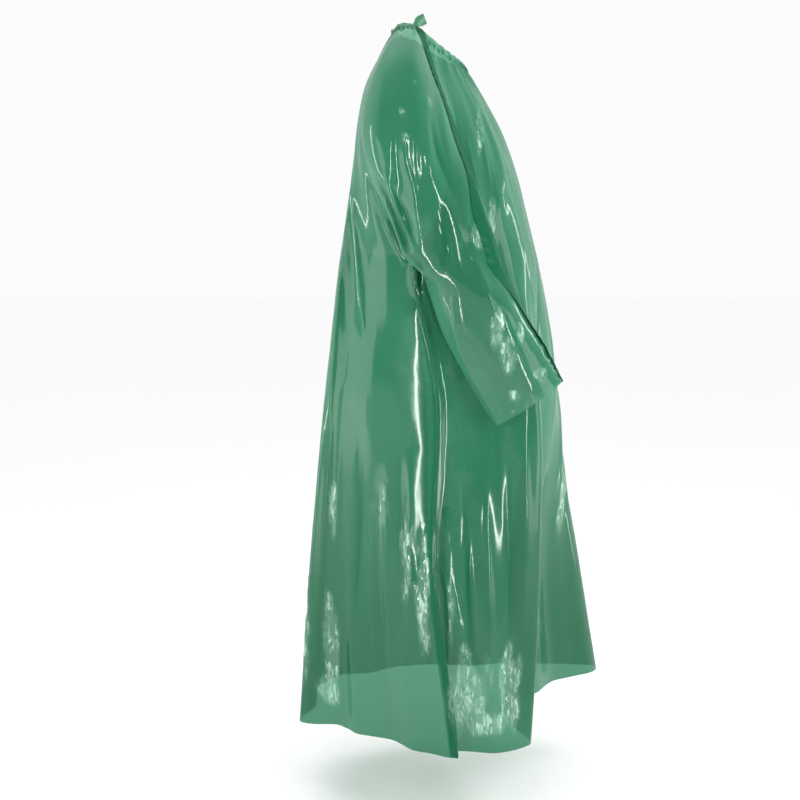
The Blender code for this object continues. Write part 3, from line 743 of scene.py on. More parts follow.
PATCHES = {
    Face.NEAR: (
        # Sleeve.
        Crumple((-104, -530), (10, 36), 1.4, 12),
        Crumple((-120, -574), (11, 32), 1.6, 12),
        Crumple((-176, -604), (12, 12), 1.4, 11),
        Crumple((-142, -536), (6, 16), 1, 11),
        Crumple((-132, -640), (8, 12), 0.8, 11),
        Crumple((-72, -372), (8, 18), 1.2, 11),
        # Glints of the shoulder.
        Crumple((10, -41), (4, 5), 0.8, 10),
        Crumple((32, -119), (3, 3), 0.8, 10),
        Crumple((-1, -124), (5, 8), 1, 10),
        Crumple((53, -168), (4, 6), 1.2, 10),
        Crumple((6, -150), (4, 10), 1, 10),
        Crumple((46, -211), (3, 6), 0.8, 10),
        Crumple((-86, -204), (4, 8), 1, 10),
        Crumple((-104, -330), (6, 40), 1, 11),
        Crumple((-83, -175), (5, 50), 1.2, 10),
        # Skirt, behind the side weld.
        Crumple((182, -1110), (15, 85), 1.4, 12),
        Crumple((188, -1195), (22, 30), 1.4, 11),
        Crumple((176, -860), (8, 50), 1, 12),
        Crumple((86, -850), (7, 45), 1, 11),
        Crumple((46, -925), (9, 80), 1.2, 11),
        Crumple((15, -990), (10, 95), 1.4, 12),
        # Skirt, in front of the side weld.
        Crumple((-30, -1015), (6, 50), 1, 11),
        Crumple((-60, -1155), (34, 66), 2, 14),
        Crumple((-92, -1210), (28, 24), 1.6, 12),
        Crumple((-134, -1150), (18, 74), 1.8, 13),
    ),
    Face.FAR: (
        Crumple((-130, -550), (26, 50), 1.6, 12),
        Crumple((-90, -1140), (30, 80), 1.6, 13),
        Crumple((140, -1060), (20, 110), 1.4, 12),
        Crumple((30, -880), (10, 90), 1.2, 12),
    ),
    Face.FRONT: (
        Crumple((40, -1130), (50, 80), 1.6, 13),
        Crumple((-60, -700), (16, 110), 1.2, 12),
        Crumple((90, -300), (24, 60), 1.2, 12),
        Crumple((130, -860), (14, 90), 1.2, 12),
    ),
    Face.BACK: (
        Crumple((-60, -1110), (34, 90), 1.6, 13),
        Crumple((100, -800), (20, 110), 1.4, 12),
        Crumple((30, -270), (40, 40), 1, 12),
    ),
}
# Facets: how far their waves bend, in grains, and the range of their pitch, in grains.
BEND = 0.35
BEND_RATES = (0.8, 0.7)
BEND_TURN = 6.0
FACET_PITCHES = (0.8, 2.6)
FAR_OFF = 1.0e3


class Facets(NamedTuple):
    """Flat facets of film: folded waves, which cross at slants up to a lean in degrees."""

    grain: float
    count: int
    seed: int
    lean: float = 65.0

    def rise(self, flat: np.ndarray) -> np.ndarray:
        """Return the facets' rise, as a share of their depth.

        Args:
            flat: Points on a plane.

        Returns:
            The rise at each point.
        """
        dice = np.random.default_rng(self.seed)
        bent = flat + BEND * self.grain * np.stack([
            np.sin(flat[:, 1 - axis] / self.grain * rate + dice.uniform(0, BEND_TURN))
            for axis, rate in enumerate(BEND_RATES)], axis=1)
        total = np.zeros(len(flat))
        for _ in range(self.count):
            slant = math.radians(dice.uniform(-self.lean, self.lean))
            pitch = self.grain * dice.uniform(*FACET_PITCHES)
            run = (bent[:, 0] * math.cos(slant) + bent[:, 1] * math.sin(slant)) / pitch
            run += dice.uniform(0.0, 1.0)
            total += (2.0 * np.abs(run - np.round(run)) - 0.5) * pitch / self.grain
        return total / self.count ** 0.5


@dataclass
class FilmRelief:
    """Works out how far each point of the film stands proud of its smooth form.

    A facing is how squarely a point has to look a face's way to take up its relief.
    """

    ridge_round: float = 0.10
    ridge_lift: float = 0.316
    ridge_taper: float = 0.7
    ridge_facing: float = 0.05
    facing_reach: float = 0.4
    patch_facing: float = 0.35
    patch_waves: int = 8
    patch_stretch: float = 0.6
    patch_level: float = 2.6
    patch_fall: float = 2.2
    ragged: Facets = Facets(0.02, 5, 50)
    ragged_stretch: float = 0.4
    ragged_level: float = 0.35
    ragged_depth: float = 2.0
    round_radius: float = 0.22
    base: Facets = Facets(0.040, 9, 101)
    base_depth: float = 0.00014
    drape: Facets = Facets(0.030, 8, 102, 24.0)
    drape_depth: float = 0.0013
    drape_stretch: float = 0.09
    drape_spread: Facets = Facets(0.21, 5, 104)
    drape_level: float = 0.55
    drape_swing: float = 0.45
    drape_limits: tuple = (0.1, 1.4)
    # Painted shade in crease troughs: the depth at which a trough is fully shaded, and its
    # strength.
    deep_trough: float = 0.0056
    trough_shade_strength: float = 0.92
    seed: int = 11

    def faces_way(self, normals: np.ndarray, face: Face, least: float) -> np.ndarray:
        """Return how far each point looks the face's way, from 0 to 1."""
        facing = normals[:, 0] * face.value[0] + normals[:, 1] * face.value[1]
        return ease((facing - least) / self.facing_reach)

    def plane(self, points: np.ndarray, face: Face) -> np.ndarray:
        """Return the points on the plane that creases of a face are laid out on."""
        return points[:, [1, 2]] if face in (Face.NEAR, Face.FAR) else points[:, [0, 2]]

    def crease(self, points: np.ndarray, normals: np.ndarray, face: Face,
               crease: Crease) -> np.ndarray:
        """Return the rise that one crease gives each point.

        Args:
            points: The film's points.
            normals: Their outward normals.
            face: The face that the crease is on.
            crease: The crease.

        Returns:
            The rise of each point.
        """
        flat = self.plane(points, face)
        line = np.array(crease.line) / MM
        lengths = np.linalg.norm(np.diff(line, axis=0), axis=1)
        nearest = np.full(len(points), FAR_OFF)
        share = np.zeros(len(points))
        run = 0.0
        for start, end, length in zip(line, line[1:], lengths):
            step = (end - start) / length
            reach = np.clip((flat - start) @ step, 0.0, length)
            distance = np.linalg.norm(flat - start - reach[:, None] * step, axis=1)
            share = np.where(distance < nearest, (run + reach) / lengths.sum(), share)
            nearest = np.minimum(distance, nearest)
            run += length
        taper = np.sin(np.pi * np.clip(share, 0.0, 1.0)) ** self.ridge_taper
        away = np.sqrt((nearest / (crease.width / MM)) ** 2 + self.ridge_round)
        profile = np.exp(-away + self.ridge_lift)
        return crease.depth / MM * taper * profile * self.faces_way(
            normals, face, self.ridge_facing)

    def patch(self, points: np.ndarray, normals: np.ndarray, face: Face, patch: Crumple,
              seed: int) -> tuple[np.ndarray, np.ndarray]:
        """Return the rise of a crumpled patch, and how much of it lies at each point.

        Args:
            points: The film's points.
            normals: Their outward normals.
            face: The face that the patch is on.
            patch: The patch.
            seed: Seed of its facets.

        Returns:
            The rise of each point, then the patch's share there, from 0 to 1.
        """
        flat = self.plane(points, face)
        centre, reach = np.array(patch.centre) / MM, np.array(patch.reach) / MM
        away = np.linalg.norm((flat - centre) / reach, axis=1)
        edge = self.ragged._replace(seed=seed + self.ragged.seed)
        ragged = edge.rise(flat * (1.0, self.ragged_stretch)) * self.ragged_level
        mask = ease(self.patch_level - self.patch_fall * away + self.ragged_depth * ragged)
        mask *= self.faces_way(normals, face, self.patch_facing)
        facets = Facets(patch.grain / MM, self.patch_waves, seed)
        return patch.depth / MM * mask * facets.rise(flat * (1.0, self.patch_stretch)), mask

    def rise(self, points: np.ndarray, normals: np.ndarray,
             calm: np.ndarray) -> tuple[np.ndarray, np.ndarray, np.ndarray]:
        """Return each point's whole rise, how crumpled it is and how deep in a trough.

        Args:
            points: The film's points.
            normals: Their outward normals.
            calm: 0 where the film is held still, as at a weld, and 1 where it is free.

        Returns:
            The rise of each point, then its crumple and its painted trough shade, from 0 to 1.
        """
        total, crumple, trough = (np.zeros(len(points)) for _ in range(3))
        for face, crease in ((face, crease) for face in CREASES for crease in CREASES[face]):
            rise = self.crease(points, normals, face, crease)
            total += rise
            # Painted shade: how deep the point lies in a crease trough.
            trough = np.maximum(trough, np.clip(-rise / self.deep_trough, 0.0, 1.0) ** 2)
        patches = [(face, patch) for face in PATCHES for patch in PATCHES[face]]
        for index, (face, patch) in enumerate(patches):
            rise, mask = self.patch(points, normals, face, patch, self.seed + index)
            total += rise
            crumple = np.maximum(crumple, mask)
        turn = np.arctan2(points[:, 1], points[:, 0]) * self.round_radius
        around = np.stack([turn, points[:, 2]], axis=1)
        total += self.base_depth * self.base.rise(around)
        hung = np.stack([turn, points[:, 2] * self.drape_stretch], axis=1)
        patchy = self.drape_level + self.drape_swing * self.drape_spread.rise(around)
        total += self.drape_depth * np.clip(patchy, *self.drape_limits) * self.drape.rise(hung)
        return total * calm, crumple, trough * calm


class Wire:
    """A socket's value, so that shader maths reads as arithmetic."""

    def __init__(self, sheet: "NodeSheet", socket: bpy.types.NodeSocket) -> None:
        """Wrap a socket of a node sheet."""
        self.sheet = sheet
        self.socket = socket

    def maths(self, operation: str, first: object, second: object) -> "Wire":
        """Return a Math node's value for two inputs."""
        return self.sheet.add("ShaderNodeMath", {"operation": operation}, {0: first, 1: second})

    def __add__(self, other: object) -> "Wire":
        """Add."""
        return self.maths("ADD", self, other)

    def __rsub__(self, other: object) -> "Wire":
        """Subtract, reflected."""
        return self.maths("SUBTRACT", other, self)

    def __mul__(self, other: object) -> "Wire":
        """Multiply."""
        return self.maths("MULTIPLY", self, other)


class NodeSheet:
    """The node tree of a material or surround, with one method that adds any node."""

    def __init__(self, owner: bpy.types.ID, end: str = "ShaderNodeOutputMaterial") -> None:
        """Clear the owner's nodes; end is the type of its last node."""
        self.owner = owner
        self.end = end
        owner.use_nodes = True
        self.tree = owner.node_tree
        self.tree.nodes.clear()

    def add(self, kind: str, settings: dict | None = None, inputs: dict | None = None,
            output: int | str | None = 0) -> Wire | None:
        """Add a node and return one of its outputs.

        Args:
            kind: The node's type.
            settings: Its settings, set before its inputs.
            inputs: Values or wires for its sockets, by name or number.
            output: Which output to return, or None for a node that has none.

        Returns:
            The output as a wire.
        """
        node = self.tree.nodes.new(kind)
        for name, value in (settings or {}).items():
            setattr(node, name, value)
        for name, value in (inputs or {}).items():
            if isinstance(value, Wire):
                self.tree.links.new(value.socket, node.inputs[name])
            else:
                node.inputs[name].default_value = value
        return None if output is None else Wire(self, node.outputs[output])

    def blend(self, share: Wire, first: object, second: object) -> Wire:
        """Mix two colours by a share."""
        return self.add("ShaderNodeMix", {"data_type": "RGBA"},
                        {0: share, 6: first, 7: second}, output=2)

    def eased(self, value: Wire, start: float, end: float, low: float = 0.0,
              high: float = 1.0) -> Wire:
        """Ease from low to high while a value goes from start to end."""
        return self.add("ShaderNodeMapRange", {"interpolation_type": "SMOOTHSTEP"}, {
            "Value": value, "From Min": start, "From Max": end, "To Min": low, "To Max": high})

    def finish(self, surface: Wire) -> bpy.types.ID:
        """Send a shader to the last node and return the owner."""
        self.add(self.end, inputs={"Surface": surface}, output=None)
        return self.owner


@dataclass(frozen=True)
class FilmFinish:
    """Glossy see-through film. Tint is what one layer lets through.

    Cloud is how much of the plain film's shine covers it. The heights are shares of the bump's
    depth, and the other shares say how far the painted rim sheen, the painted sheen on crumpled
    patches and the painted shade near the hem change the colour and the cover. The deep colour
    is that of pressed welds, and also paints shade near the hem and in crease troughs.
    """

    name: str
    tint: tuple
    colour: tuple
    weld_and_shade_colour: tuple
    painted_sheen_colour: tuple
    painted_rim_colour: tuple
    cloud: float
    roughness: float
    bump: float
    bump_depth: float = 0.006
    drawn_turn: tuple = (0.42, 0.20, 0.0)
    drawn_size: tuple = (1.0, 1.0, 0.34)
    facet_scale: float = 150.0
    fine_glint_scale: float = 340.0
    ripple_height: float = 0.10
    ridge_height: float = 0.42
    facet_height: float = 0.34
    plain_height: float = 0.012
    low_z: float = -1.20
    high_z: float = -0.60
    low_shade: float = 0.30
    low_shade_mix: float = 0.36
    low_rim: float = 0.70
    crumple_shade_cut: float = 0.30
    rim: float = 0.88
    rim_cover: float = 0.30
    cloudy_cover: float = 0.12
    broad_glint: float = 0.50
    fine_glint: float = 0.30
    ridge_glint: float = 0.25
    glint_span: tuple = (0.30, 0.90)
    painted_sheen: float = 0.60
    least_painted_sheen: float = 0.13
    painted_sheen_cover: float = 0.55
    weld_press: float = 0.92

    def material(self) -> bpy.types.Material:
        """Return the film's material.

        Returns:
            The material.
        """
        sheet = NodeSheet(bpy.data.materials.new(self.name))
        place = sheet.add("ShaderNodeTexCoord", output="Object")
        # The weld attribute holds the welds' press and painted shade in deep crease troughs.
        crumple, weld = (sheet.add("ShaderNodeAttribute", {"attribute_name": name}, output="Fac")
                         for name in ("crumple", "weld"))
        bump, (broad, fine, ridges) = self.surface(sheet, place, crumple)
        cloudy = sheet.add("ShaderNodeTexNoise", inputs={
            "Vector": place, "Scale": 7.0, "Detail": 3.0})
        edge = sheet.add("ShaderNodeLayerWeight", inputs={"Blend": 0.18, "Normal": bump}, output=1)
        height = sheet.add("ShaderNodeSeparateXYZ", inputs={"Vector": place}, output="Z")
        # Painted shade: the colour darkens towards deep green below high_z, most at the hem.
        low = sheet.eased(height, self.low_z, self.high_z, 1.0, 0.0)
        body = sheet.blend(low * self.low_shade, self.colour, self.weld_and_shade_colour)
        # Painted rim sheen: edges seen at a grazing angle are lightened towards a pale green.
        plain = sheet.blend(edge * (self.rim - low * self.low_rim), body, self.painted_rim_colour)
        # Painted sheen and glints: crumpled patches turn whitish, each small facet at a random
        # brightness.
        glint_brightness = sheet.eased(broad * self.broad_glint + fine * self.fine_glint
                            + ridges * self.ridge_glint, *self.glint_span)
        painted_sheen = crumple * (glint_brightness * self.painted_sheen + self.least_painted_sheen)
        gloss = sheet.add("ShaderNodeBsdfPrincipled", inputs={
            "Base Color": sheet.blend(painted_sheen, plain, self.painted_sheen_colour),
            "Roughness": self.roughness, "IOR": 1.75, "Specular IOR Level": 0.55,
            "Normal": bump})
        clear = sheet.add("ShaderNodeBsdfTransparent", inputs={"Color": self.tint})
        cover = (cloudy * self.cloudy_cover + edge * self.rim_cover
                 + painted_sheen * self.painted_sheen_cover + self.cloud)
        film = sheet.add("ShaderNodeMixShader", inputs={0: cover, 1: clear, 2: gloss})
        # Deep green pressed film at the welds, also used as painted shade in deep troughs and near
        # the hem.
        pressed_and_shaded = sheet.add("ShaderNodeBsdfPrincipled", inputs={
            "Base Color": self.weld_and_shade_colour, "Roughness": 0.34, "IOR": 1.12,
            "Specular IOR Level": 0.25, "Normal": bump})
        press = weld * self.weld_press + low * (self.low_shade_mix - crumple * self.crumple_shade_cut)
        return sheet.finish(sheet.add("ShaderNodeMixShader", inputs={
            0: press, 1: film, 2: pressed_and_shaded}))

    def surface(self, sheet: NodeSheet, place: Wire, crumple: Wire) -> tuple[Wire, tuple]:
        """Add the film's small relief.

        Args:
            sheet: The material's nodes.
            place: Where the point lies.
            crumple: How crumpled it is.

        Returns:
            The bumped normal, then what its painted glints are made of: two grains and the ridges.
        """
        drawn = sheet.add("ShaderNodeMapping", inputs={
            "Vector": place, "Rotation": self.drawn_turn, "Scale": self.drawn_size})
        ripple = sheet.add("ShaderNodeTexNoise", inputs={
            "Vector": drawn, "Scale": 26.0, "Detail": 2.0, "Roughness": 0.5})
        ridges = sheet.add("ShaderNodeTexNoise", {"noise_type": "RIDGED_MULTIFRACTAL"}, {
            "Vector": drawn, "Scale": 42.0, "Detail": 3.0, "Roughness": 0.5, "Distortion": 0.6})
        facets = sheet.add("ShaderNodeTexVoronoi", {"feature": "F1"}, {
            "Vector": drawn, "Scale": self.facet_scale})
        broad, fine = (self.glint(sheet, drawn, scale)
                       for scale in (self.facet_scale, self.fine_glint_scale))
        height = (ripple * self.ripple_height
                  + crumple * (ridges * self.ridge_height + facets * self.facet_height)
                  + ridges * self.plain_height)
        bump = sheet.add("ShaderNodeBump", inputs={
            "Height": height, "Strength": self.bump, "Distance": self.bump_depth},
            output="Normal")
        return bump, (broad, fine, ridges)

    def glint(self, sheet: NodeSheet, place: Wire, scale: float) -> Wire:
        """Return one random brightness for each small facet."""
        # These random brightnesses paint glints on the crumpled patches.
        lit = sheet.add("ShaderNodeTexVoronoi", {"feature": "F1"}, {
            "Vector": place, "Scale": scale}, output="Color")
        return sheet.add("ShaderNodeSeparateColor", inputs={"Color": lit}, output="Red")


# Two colours paint light: the pale rim sheen at grazing edges and the whitish sheen on crumples;
# the deep green also paints shade near the hem and in troughs.
FILM = FilmFinish(
    name="green_film", tint=(0.140, 0.345, 0.232, 1.0), colour=(0.046, 0.280, 0.148, 1.0),
    weld_and_shade_colour=(0.003, 0.086, 0.036, 1.0), painted_sheen_colour=(0.66, 0.88, 0.79, 1.0),
    painted_rim_colour=(0.20, 0.72, 0.48, 1.0), cloud=0.32, roughness=0.11, bump=0.55)
# The ties' rim colour is painted rim sheen too.
TIE_FILM = FilmFinish(
    name="tie_film", tint=(0.10, 0.35, 0.18, 1.0), colour=(0.022, 0.19, 0.078, 1.0),
    weld_and_shade_colour=(0.012, 0.22, 0.08, 1.0), painted_sheen_colour=(0.06, 0.34, 0.15, 1.0),
    painted_rim_colour=(0.04, 0.26, 0.11, 1.0), cloud=0.80, roughness=0.40, bump=0.0)


@dataclass(frozen=True)
class FloorFinish:
    """Pale matt studio floor."""

    name: str = "pale_floor"
    colour: tuple = (0.92, 0.92, 0.92, 1.0)

    def material(self) -> bpy.types.Material:
        """Return the floor's material."""
        sheet = NodeSheet(bpy.data.materials.new(self.name))
        return sheet.finish(sheet.add("ShaderNodeBsdfPrincipled", inputs={
            "Base Color": self.colour, "Roughness": 0.9, "Specular IOR Level": 0.1}))


class WeldMargin(NamedTuple):
    """The film past a weld. A pair holds its value at the weld's start and at its end.

    A fold of 1 lies flat on a panel, and 0 stands out. Press is how flat and deep green the
    weld leaves the margin. Forward is how far an unfolded margin leans to the gown's front,
    as a share of its width. A margin on the back half lies on that panel, and otherwise on
    the front.
    """

    width: tuple
    fold: tuple
    pucker: tuple
    press: tuple
    forward: float
    on_back: bool

    def at(self, share: float) -> list[float]:
        """Return width, fold, pucker and press at a share of the weld's length."""
        return [start + (end - start) * share
                for start, end in (self.width, self.fold, self.pucker, self.press)]


TOP_MARGIN = WeldMargin((0.024, 0.042), (1.0, 1.0), (0.0016, 0.0007), (1.0, 0.80), 0.0, True)
SLEEVE_MARGIN = WeldMargin((0.042, 0.009), (1.0, 0.2), (0.0007, 0.0034), (0.80, 0.70), 0.0, True)
UNDER_MARGIN = WeldMargin((0.006, 0.007), (0.2, 0.1), (0.0006, 0.0014), (0.66, 0.50), 0.0, False)
SIDE_MARGIN = WeldMargin((0.007, 0.011), (0.3, 0.1), (0.0004, 0.0005), (0.70, 0.46), 0.9, False)
MARGIN_PARTS = (0.18, 0.45, 0.75, 1.0)
MARGIN_RIPPLES = (Ripple(0.16, 19.0), Ripple(0.09, 47.0, 2.0))
PUCKER_RIPPLES = (Ripple(0.005, 61.0), Ripple(0.003, 137.0))
EDGE_COLUMNS = 24
BESIDE = 3


class FilmPanel:
    """A cut piece of film: blocks of rows, as a yoke that parts into a body and sleeves."""

    def __init__(self, name: str) -> None:
        """Start an empty panel."""
        self.name = name
        self.points: list[Vector] = []
        self.faces: list[tuple] = []
        self.blocks: dict[str, list[list[int]]] = {}
        self.weld: dict[int, float] = {}

    def add_points(self, points: Iterable[Vector]) -> list[int]:
        """Add points and return their numbers.

        Args:
            points: The points.

        Returns:
            Their numbers.
        """
        first = len(self.points)
        self.points.extend(points)
        return list(range(first, len(self.points)))

    def add_faces(self, rows: Sequence[Sequence[int]]) -> None:
        """Fill the stretches between rows of point numbers.

        Args:
            rows: The rows, each a list of point numbers.
        """
        for upper, lower in zip(rows, rows[1:]):
            for column in range(len(upper) - 1):
                self.faces.append((upper[column], lower[column],
                                   lower[column + 1], upper[column + 1]))

    def add_rows(self, block: str, rows: Iterable[list[Vector]],
                 top: Sequence[int] = ()) -> None:
        """Add a block of rows; top holds the point numbers of the row that it hangs from.

        Args:
            block: The block's name.
            rows: Its rows of points.
            top: Point numbers of the row that it hangs from, if any.
        """
        numbers = [list(top)] if top else []
        numbers += [self.add_points(row) for row in rows]
        self.add_faces(numbers)
        self.blocks[block] = numbers

    def edge(self, block: str, column: int) -> list[list[int]]:
        """Return each row's point numbers from a block's first (0) or last (-1) column in."""
        return [row[::1 if column == 0 else -1][:EDGE_COLUMNS] for row in self.blocks[block]]

    def inside(self, numbers: Sequence[int], reach: float) -> Vector:
        """Return the point at a distance in from the edge, along one row's numbers.

        Args:
            numbers: The row's point numbers, from the edge inwards.
            reach: The distance.

        Returns:
            The point.
        """
        line = [self.points[number] for number in numbers]
        run = 0.0
        for here, there in zip(line, line[1:]):
            step = there - here
            if run + step.length >= reach:
                return here + step * ((reach - run) / step.length)
            run += step.length
        return line[-1].copy()

    def piece(self) -> bpy.types.Object:
        """Make the panel's mesh and put it into the scene.

        Returns:
            The new object.
        """
        mesh = bpy.data.meshes.new(self.name)
        mesh.from_pydata([tuple(point) for point in self.points], [], self.faces)
        mesh.update()
        return placed(self.name, mesh)


@dataclass
class Gown:
    """The film pieces: front, two back halves, their welds and their relief.

    The casing's dip is its seam's depth and width. The swell above it has a height, a width
    and a place, which is a share of the way down to the seam.
    """

    form: GownForm
    relief: FilmRelief
    pucker_pitch: float = 0.015
    pucker_reach: float = 0.022
    pucker_fade: float = 0.3
    pucker_least: float = 0.35
    pucker_beat: Ripple = Ripple(1.0, 23.0, 1.0)
    weld_press: float = 0.5
    seam_out: float = 0.7
    margin_lift: float = 0.0016
    margin_lean: float = 0.6
    margin_sway: float = 1.4
    layer_gap: float = 0.00018
    calm_columns: int = 6
    calm_rows: int = 10
    casing_rows: int = 26
    casing_ripples: tuple = (Ripple(0.10, 9.0), Ripple(0.06, 31.0))
    casing_pleats: float = 62.0
    casing_sway: Ripple = Ripple(2.0, 5.0)
    casing_dip: tuple = (0.0020, 0.0056)
    casing_press: float = 0.9
    casing_swell: tuple = (0.0010, 0.006, 0.55)

    def build_front(self) -> FilmPanel:
        """Lay out the front panel, with the inner half of both sleeves.

        Returns:
            The panel.
        """
        form = self.form
        panel = FilmPanel("film_front")
        panel.add_rows("yoke", [form.yoke_front_row(place) for place in form.places("yoke")])
        under = panel.blocks["yoke"][-1]
        arm = sum(form.fine(form.arm_steps))
        panel.add_rows("skirt", [form.skirt_front_row(place) for place in form.places("skirt")],
                       under[arm:-arm])
        sleeve = [form.sleeve_row(place, outer=False) for place in form.places("sleeve")]
        panel.add_rows("sleeve_r", sleeve, under[:arm + 1])
        other = [[mirrored(point) for point in reversed(row)] for row in sleeve]
        panel.add_rows("sleeve_l", other, under[-arm - 1:])
        return panel

    def build_back(self, side: Side) -> FilmPanel:
        """Lay out one half of the back, from its top weld to past the centre back.

        Args:
            side: Which half it is.

        Returns:
            The panel.
        """
        form = self.form
        panel = FilmPanel("film_back_right" if side is Side.RIGHT else "film_back_left")
        turn = Vector if side is Side.RIGHT else mirrored
        panel.add_rows("yoke", [
            form.gathered([turn(point) for point in form.yoke_back_row(place)], place)
            for place in form.places("yoke")])
        under = panel.blocks["yoke"][-1]
        arm = sum(form.fine(form.outer_steps))
        panel.add_rows("skirt", [form.skirt_back_row(place, side)
                                 for place in form.places("skirt")], under[arm:])
        panel.add_rows("sleeve", [[turn(point) for point in form.sleeve_row(place, outer=True)]
                                  for place in form.places("sleeve")], under[:arm + 1])
        if side is Side.RIGHT:
            panel.faces = [tuple(reversed(face)) for face in panel.faces]
            self.lift_lap(panel)
        return panel

    def lift_lap(self, panel: FilmPanel) -> None:
        """Raise the half that laps over the other one, so that they lie clear.

        Args:
            panel: The half that lies on top.
        """
        form = self.form
        reach = (sum(form.back_steps[-2:]) + form.lap_steps) * form.across
        for row in panel.blocks["yoke"] + panel.blocks["skirt"][1:]:
            for step, number in enumerate(row[-reach:]):
                point = panel.points[number]
                rise = smooth((step + 1) / (form.back_steps[-1] * form.across))
                panel.points[number] = point + radial(point).normalized() * form.lap_lift * rise

    def weld_edges(self, front: FilmPanel, back: FilmPanel, side: Side) -> None:
        """Weld a back half to the front along the arm's top, underside and the side.

        Args:
            front: The front panel.
            back: The back half on that side.
            side: Which side it is.
        """
        outer, inner = (0, -1) if side is Side.RIGHT else (-1, 0)
        sleeve = f"sleeve_{side.value}"
        self.seam(front, front.edge("yoke", outer), back, back.edge("yoke", 0), TOP_MARGIN)
        self.seam(front, front.edge(sleeve, outer), back, back.edge("sleeve", 0), SLEEVE_MARGIN)
        self.seam(front, front.edge(sleeve, inner), back, back.edge("sleeve", -1), UNDER_MARGIN)
        self.seam(front, front.edge("skirt", outer), back, back.edge("skirt", 0), SIDE_MARGIN)

    def seam(self, front: FilmPanel, ours: list[list[int]], back: FilmPanel,
             theirs: list[list[int]], margin: WeldMargin) -> None:
        """Pucker one seam and add both layers' margin past it.

        Args:
            front: The front panel.
            ours: Its edge, as edge() gives it.
            back: The back half.
            theirs: Its edge.
            margin: The margin's measures.
        """
        places = [front.points[row[0]].copy() for row in ours]
        runs = runs_along(places)
        strips: tuple = ([], [])
        for index, (mine, yours) in enumerate(zip(ours, theirs)):
            place, run = places[index], runs[index]
            out, sway = self.seam_ways(places, index, front.points[mine[BESIDE]],
                                       back.points[yours[BESIDE]])
            wave = self.pucker_wave(run)
            width, fold, pucker, press = margin.at(run / runs[-1])
            width *= 1.0 + MARGIN_RIPPLES[0].at(run) + MARGIN_RIPPLES[1].at(run)
            swing = pucker * 0.5 * wave
            bed, numbers = (back, yours) if margin.on_back else (front, mine)
            lain = [bed.inside(numbers, width * part) for part in MARGIN_PARTS]
            self.pucker(front, mine, place, out, swing)
            self.pucker(back, yours, place, out, swing)
            start = place + out * swing
            lean = out * self.margin_lean + Vector((0.0, -margin.forward, 0.0))
            line = []
            for part, flat in zip(MARGIN_PARTS, lain):
                down = flat + out * (self.margin_lift * (1.0 + 0.5 * wave * part))
                up = start + lean * (width * part) + sway * (
                    pucker * self.margin_sway * wave * part)
                line.append(up.lerp(down, fold))
            for panel, edge, strip, lift in ((front, mine, strips[0], self.layer_gap),
                                             (back, yours, strips[1], -self.layer_gap)):
                panel.points[edge[0]] = start.copy()
                tips = panel.add_points(point + out * lift for point in line)
                panel.weld.update(dict.fromkeys(tips, press))
                strip.append([edge[0], *tips])
        front.add_faces(strips[0])
        back.add_faces(strips[1])

    def seam_ways(self, places: Sequence[Vector], index: int, mine: Vector,
                  yours: Vector) -> tuple[Vector, Vector]:
        """Return the ways that lead out from a seam and across it.

        Args:
            places: The seam's places.
            index: Number of the place.
            mine: A point of the front beside it.
            yours: A point of the back beside it.

        Returns:
            The way out, then the way across.
        """
        place = places[index]
        to_me, to_you = (mine - place).normalized(), (yours - place).normalized()
        run = places[min(index + 1, len(places) - 1)] - places[max(index - 1, 0)]
        across = to_me - to_you
        level = turned_out(across.cross(run.normalized()), place).normalized()
        out = (level * self.seam_out - to_me - to_you).normalized()
        return out, (across - across.project(out)).normalized()

    def pucker_wave(self, run: float) -> float:
        """Return the puckers' swing at a distance along a seam, from -1 to 1.

        Args:
            run: The distance.

        Returns:
            The swing.
        """
        drift = run + PUCKER_RIPPLES[0].at(run) + PUCKER_RIPPLES[1].at(run)
        beat = self.pucker_least + (1.0 - self.pucker_least) * self.pucker_beat.at(run) ** 2
        return math.sin(2.0 * math.pi * drift / self.pucker_pitch) * beat

    def pucker(self, panel: FilmPanel, numbers: list[int], place: Vector, out: Vector,
               swing: float) -> None:
        """Swing one row's points near its weld out, less and less with their distance.

        Args:
            panel: The panel.
            numbers: The row's point numbers, from its edge inwards.
            place: Where the weld lies.
            out: The way out from the seam.
            swing: How far the weld swings here.
        """
        for reach, number in enumerate(numbers):
            fade = 1.0 - smooth((panel.points[number] - place).length / self.pucker_reach)
            if reach and fade <= 0.0:
                break
            if not reach or number not in panel.weld:
                fade *= 1.0 - self.pucker_fade * reach / len(numbers)
                panel.points[number] = panel.points[number] + out * (swing * fade)
                panel.weld[number] = self.weld_press if reach < 2 else 0.0

    def mesh(self, panel: FilmPanel, finish: bpy.types.Material) -> bpy.types.Object:
        """Make a panel's mesh, raise its relief and dress it.

        Args:
            panel: The laid out panel.
            finish: Its material.

        Returns:
            The finished piece.
        """
        made = panel.piece()
        mesh = made.data
        points, normals = (np.empty(len(panel.points) * 3) for _ in range(2))
        mesh.vertices.foreach_get("co", points)
        mesh.vertex_normals.foreach_get("vector", normals)
        points, normals = points.reshape(-1, 3), normals.reshape(-1, 3)
        outwards = (points[:, :2] * normals[:, :2]).sum(1) > 0
        LOG.info("%s looks outwards over %.0f%%", panel.name, 100 * outwards.mean())
        rise, crumple, trough = self.relief.rise(points, normals, self.calmness(panel))
        rise += self.casing_seam(panel)
        points += normals * rise[:, None]
        mesh.vertices.foreach_set("co", points.ravel())
        weld = np.array([panel.weld.get(index, 0.0) for index in range(len(points))])
        # Deep crease troughs join the weld layer as painted shade.
        weld = np.maximum(weld, trough * self.relief.trough_shade_strength)
        for name, values in (("crumple", crumple), ("weld", weld)):
            layer = mesh.attributes.new(name, "FLOAT", "POINT")
            layer.data.foreach_set("value", values)
        mesh.update()
        mesh.shade_smooth()
        mesh.materials.append(finish)
        return made

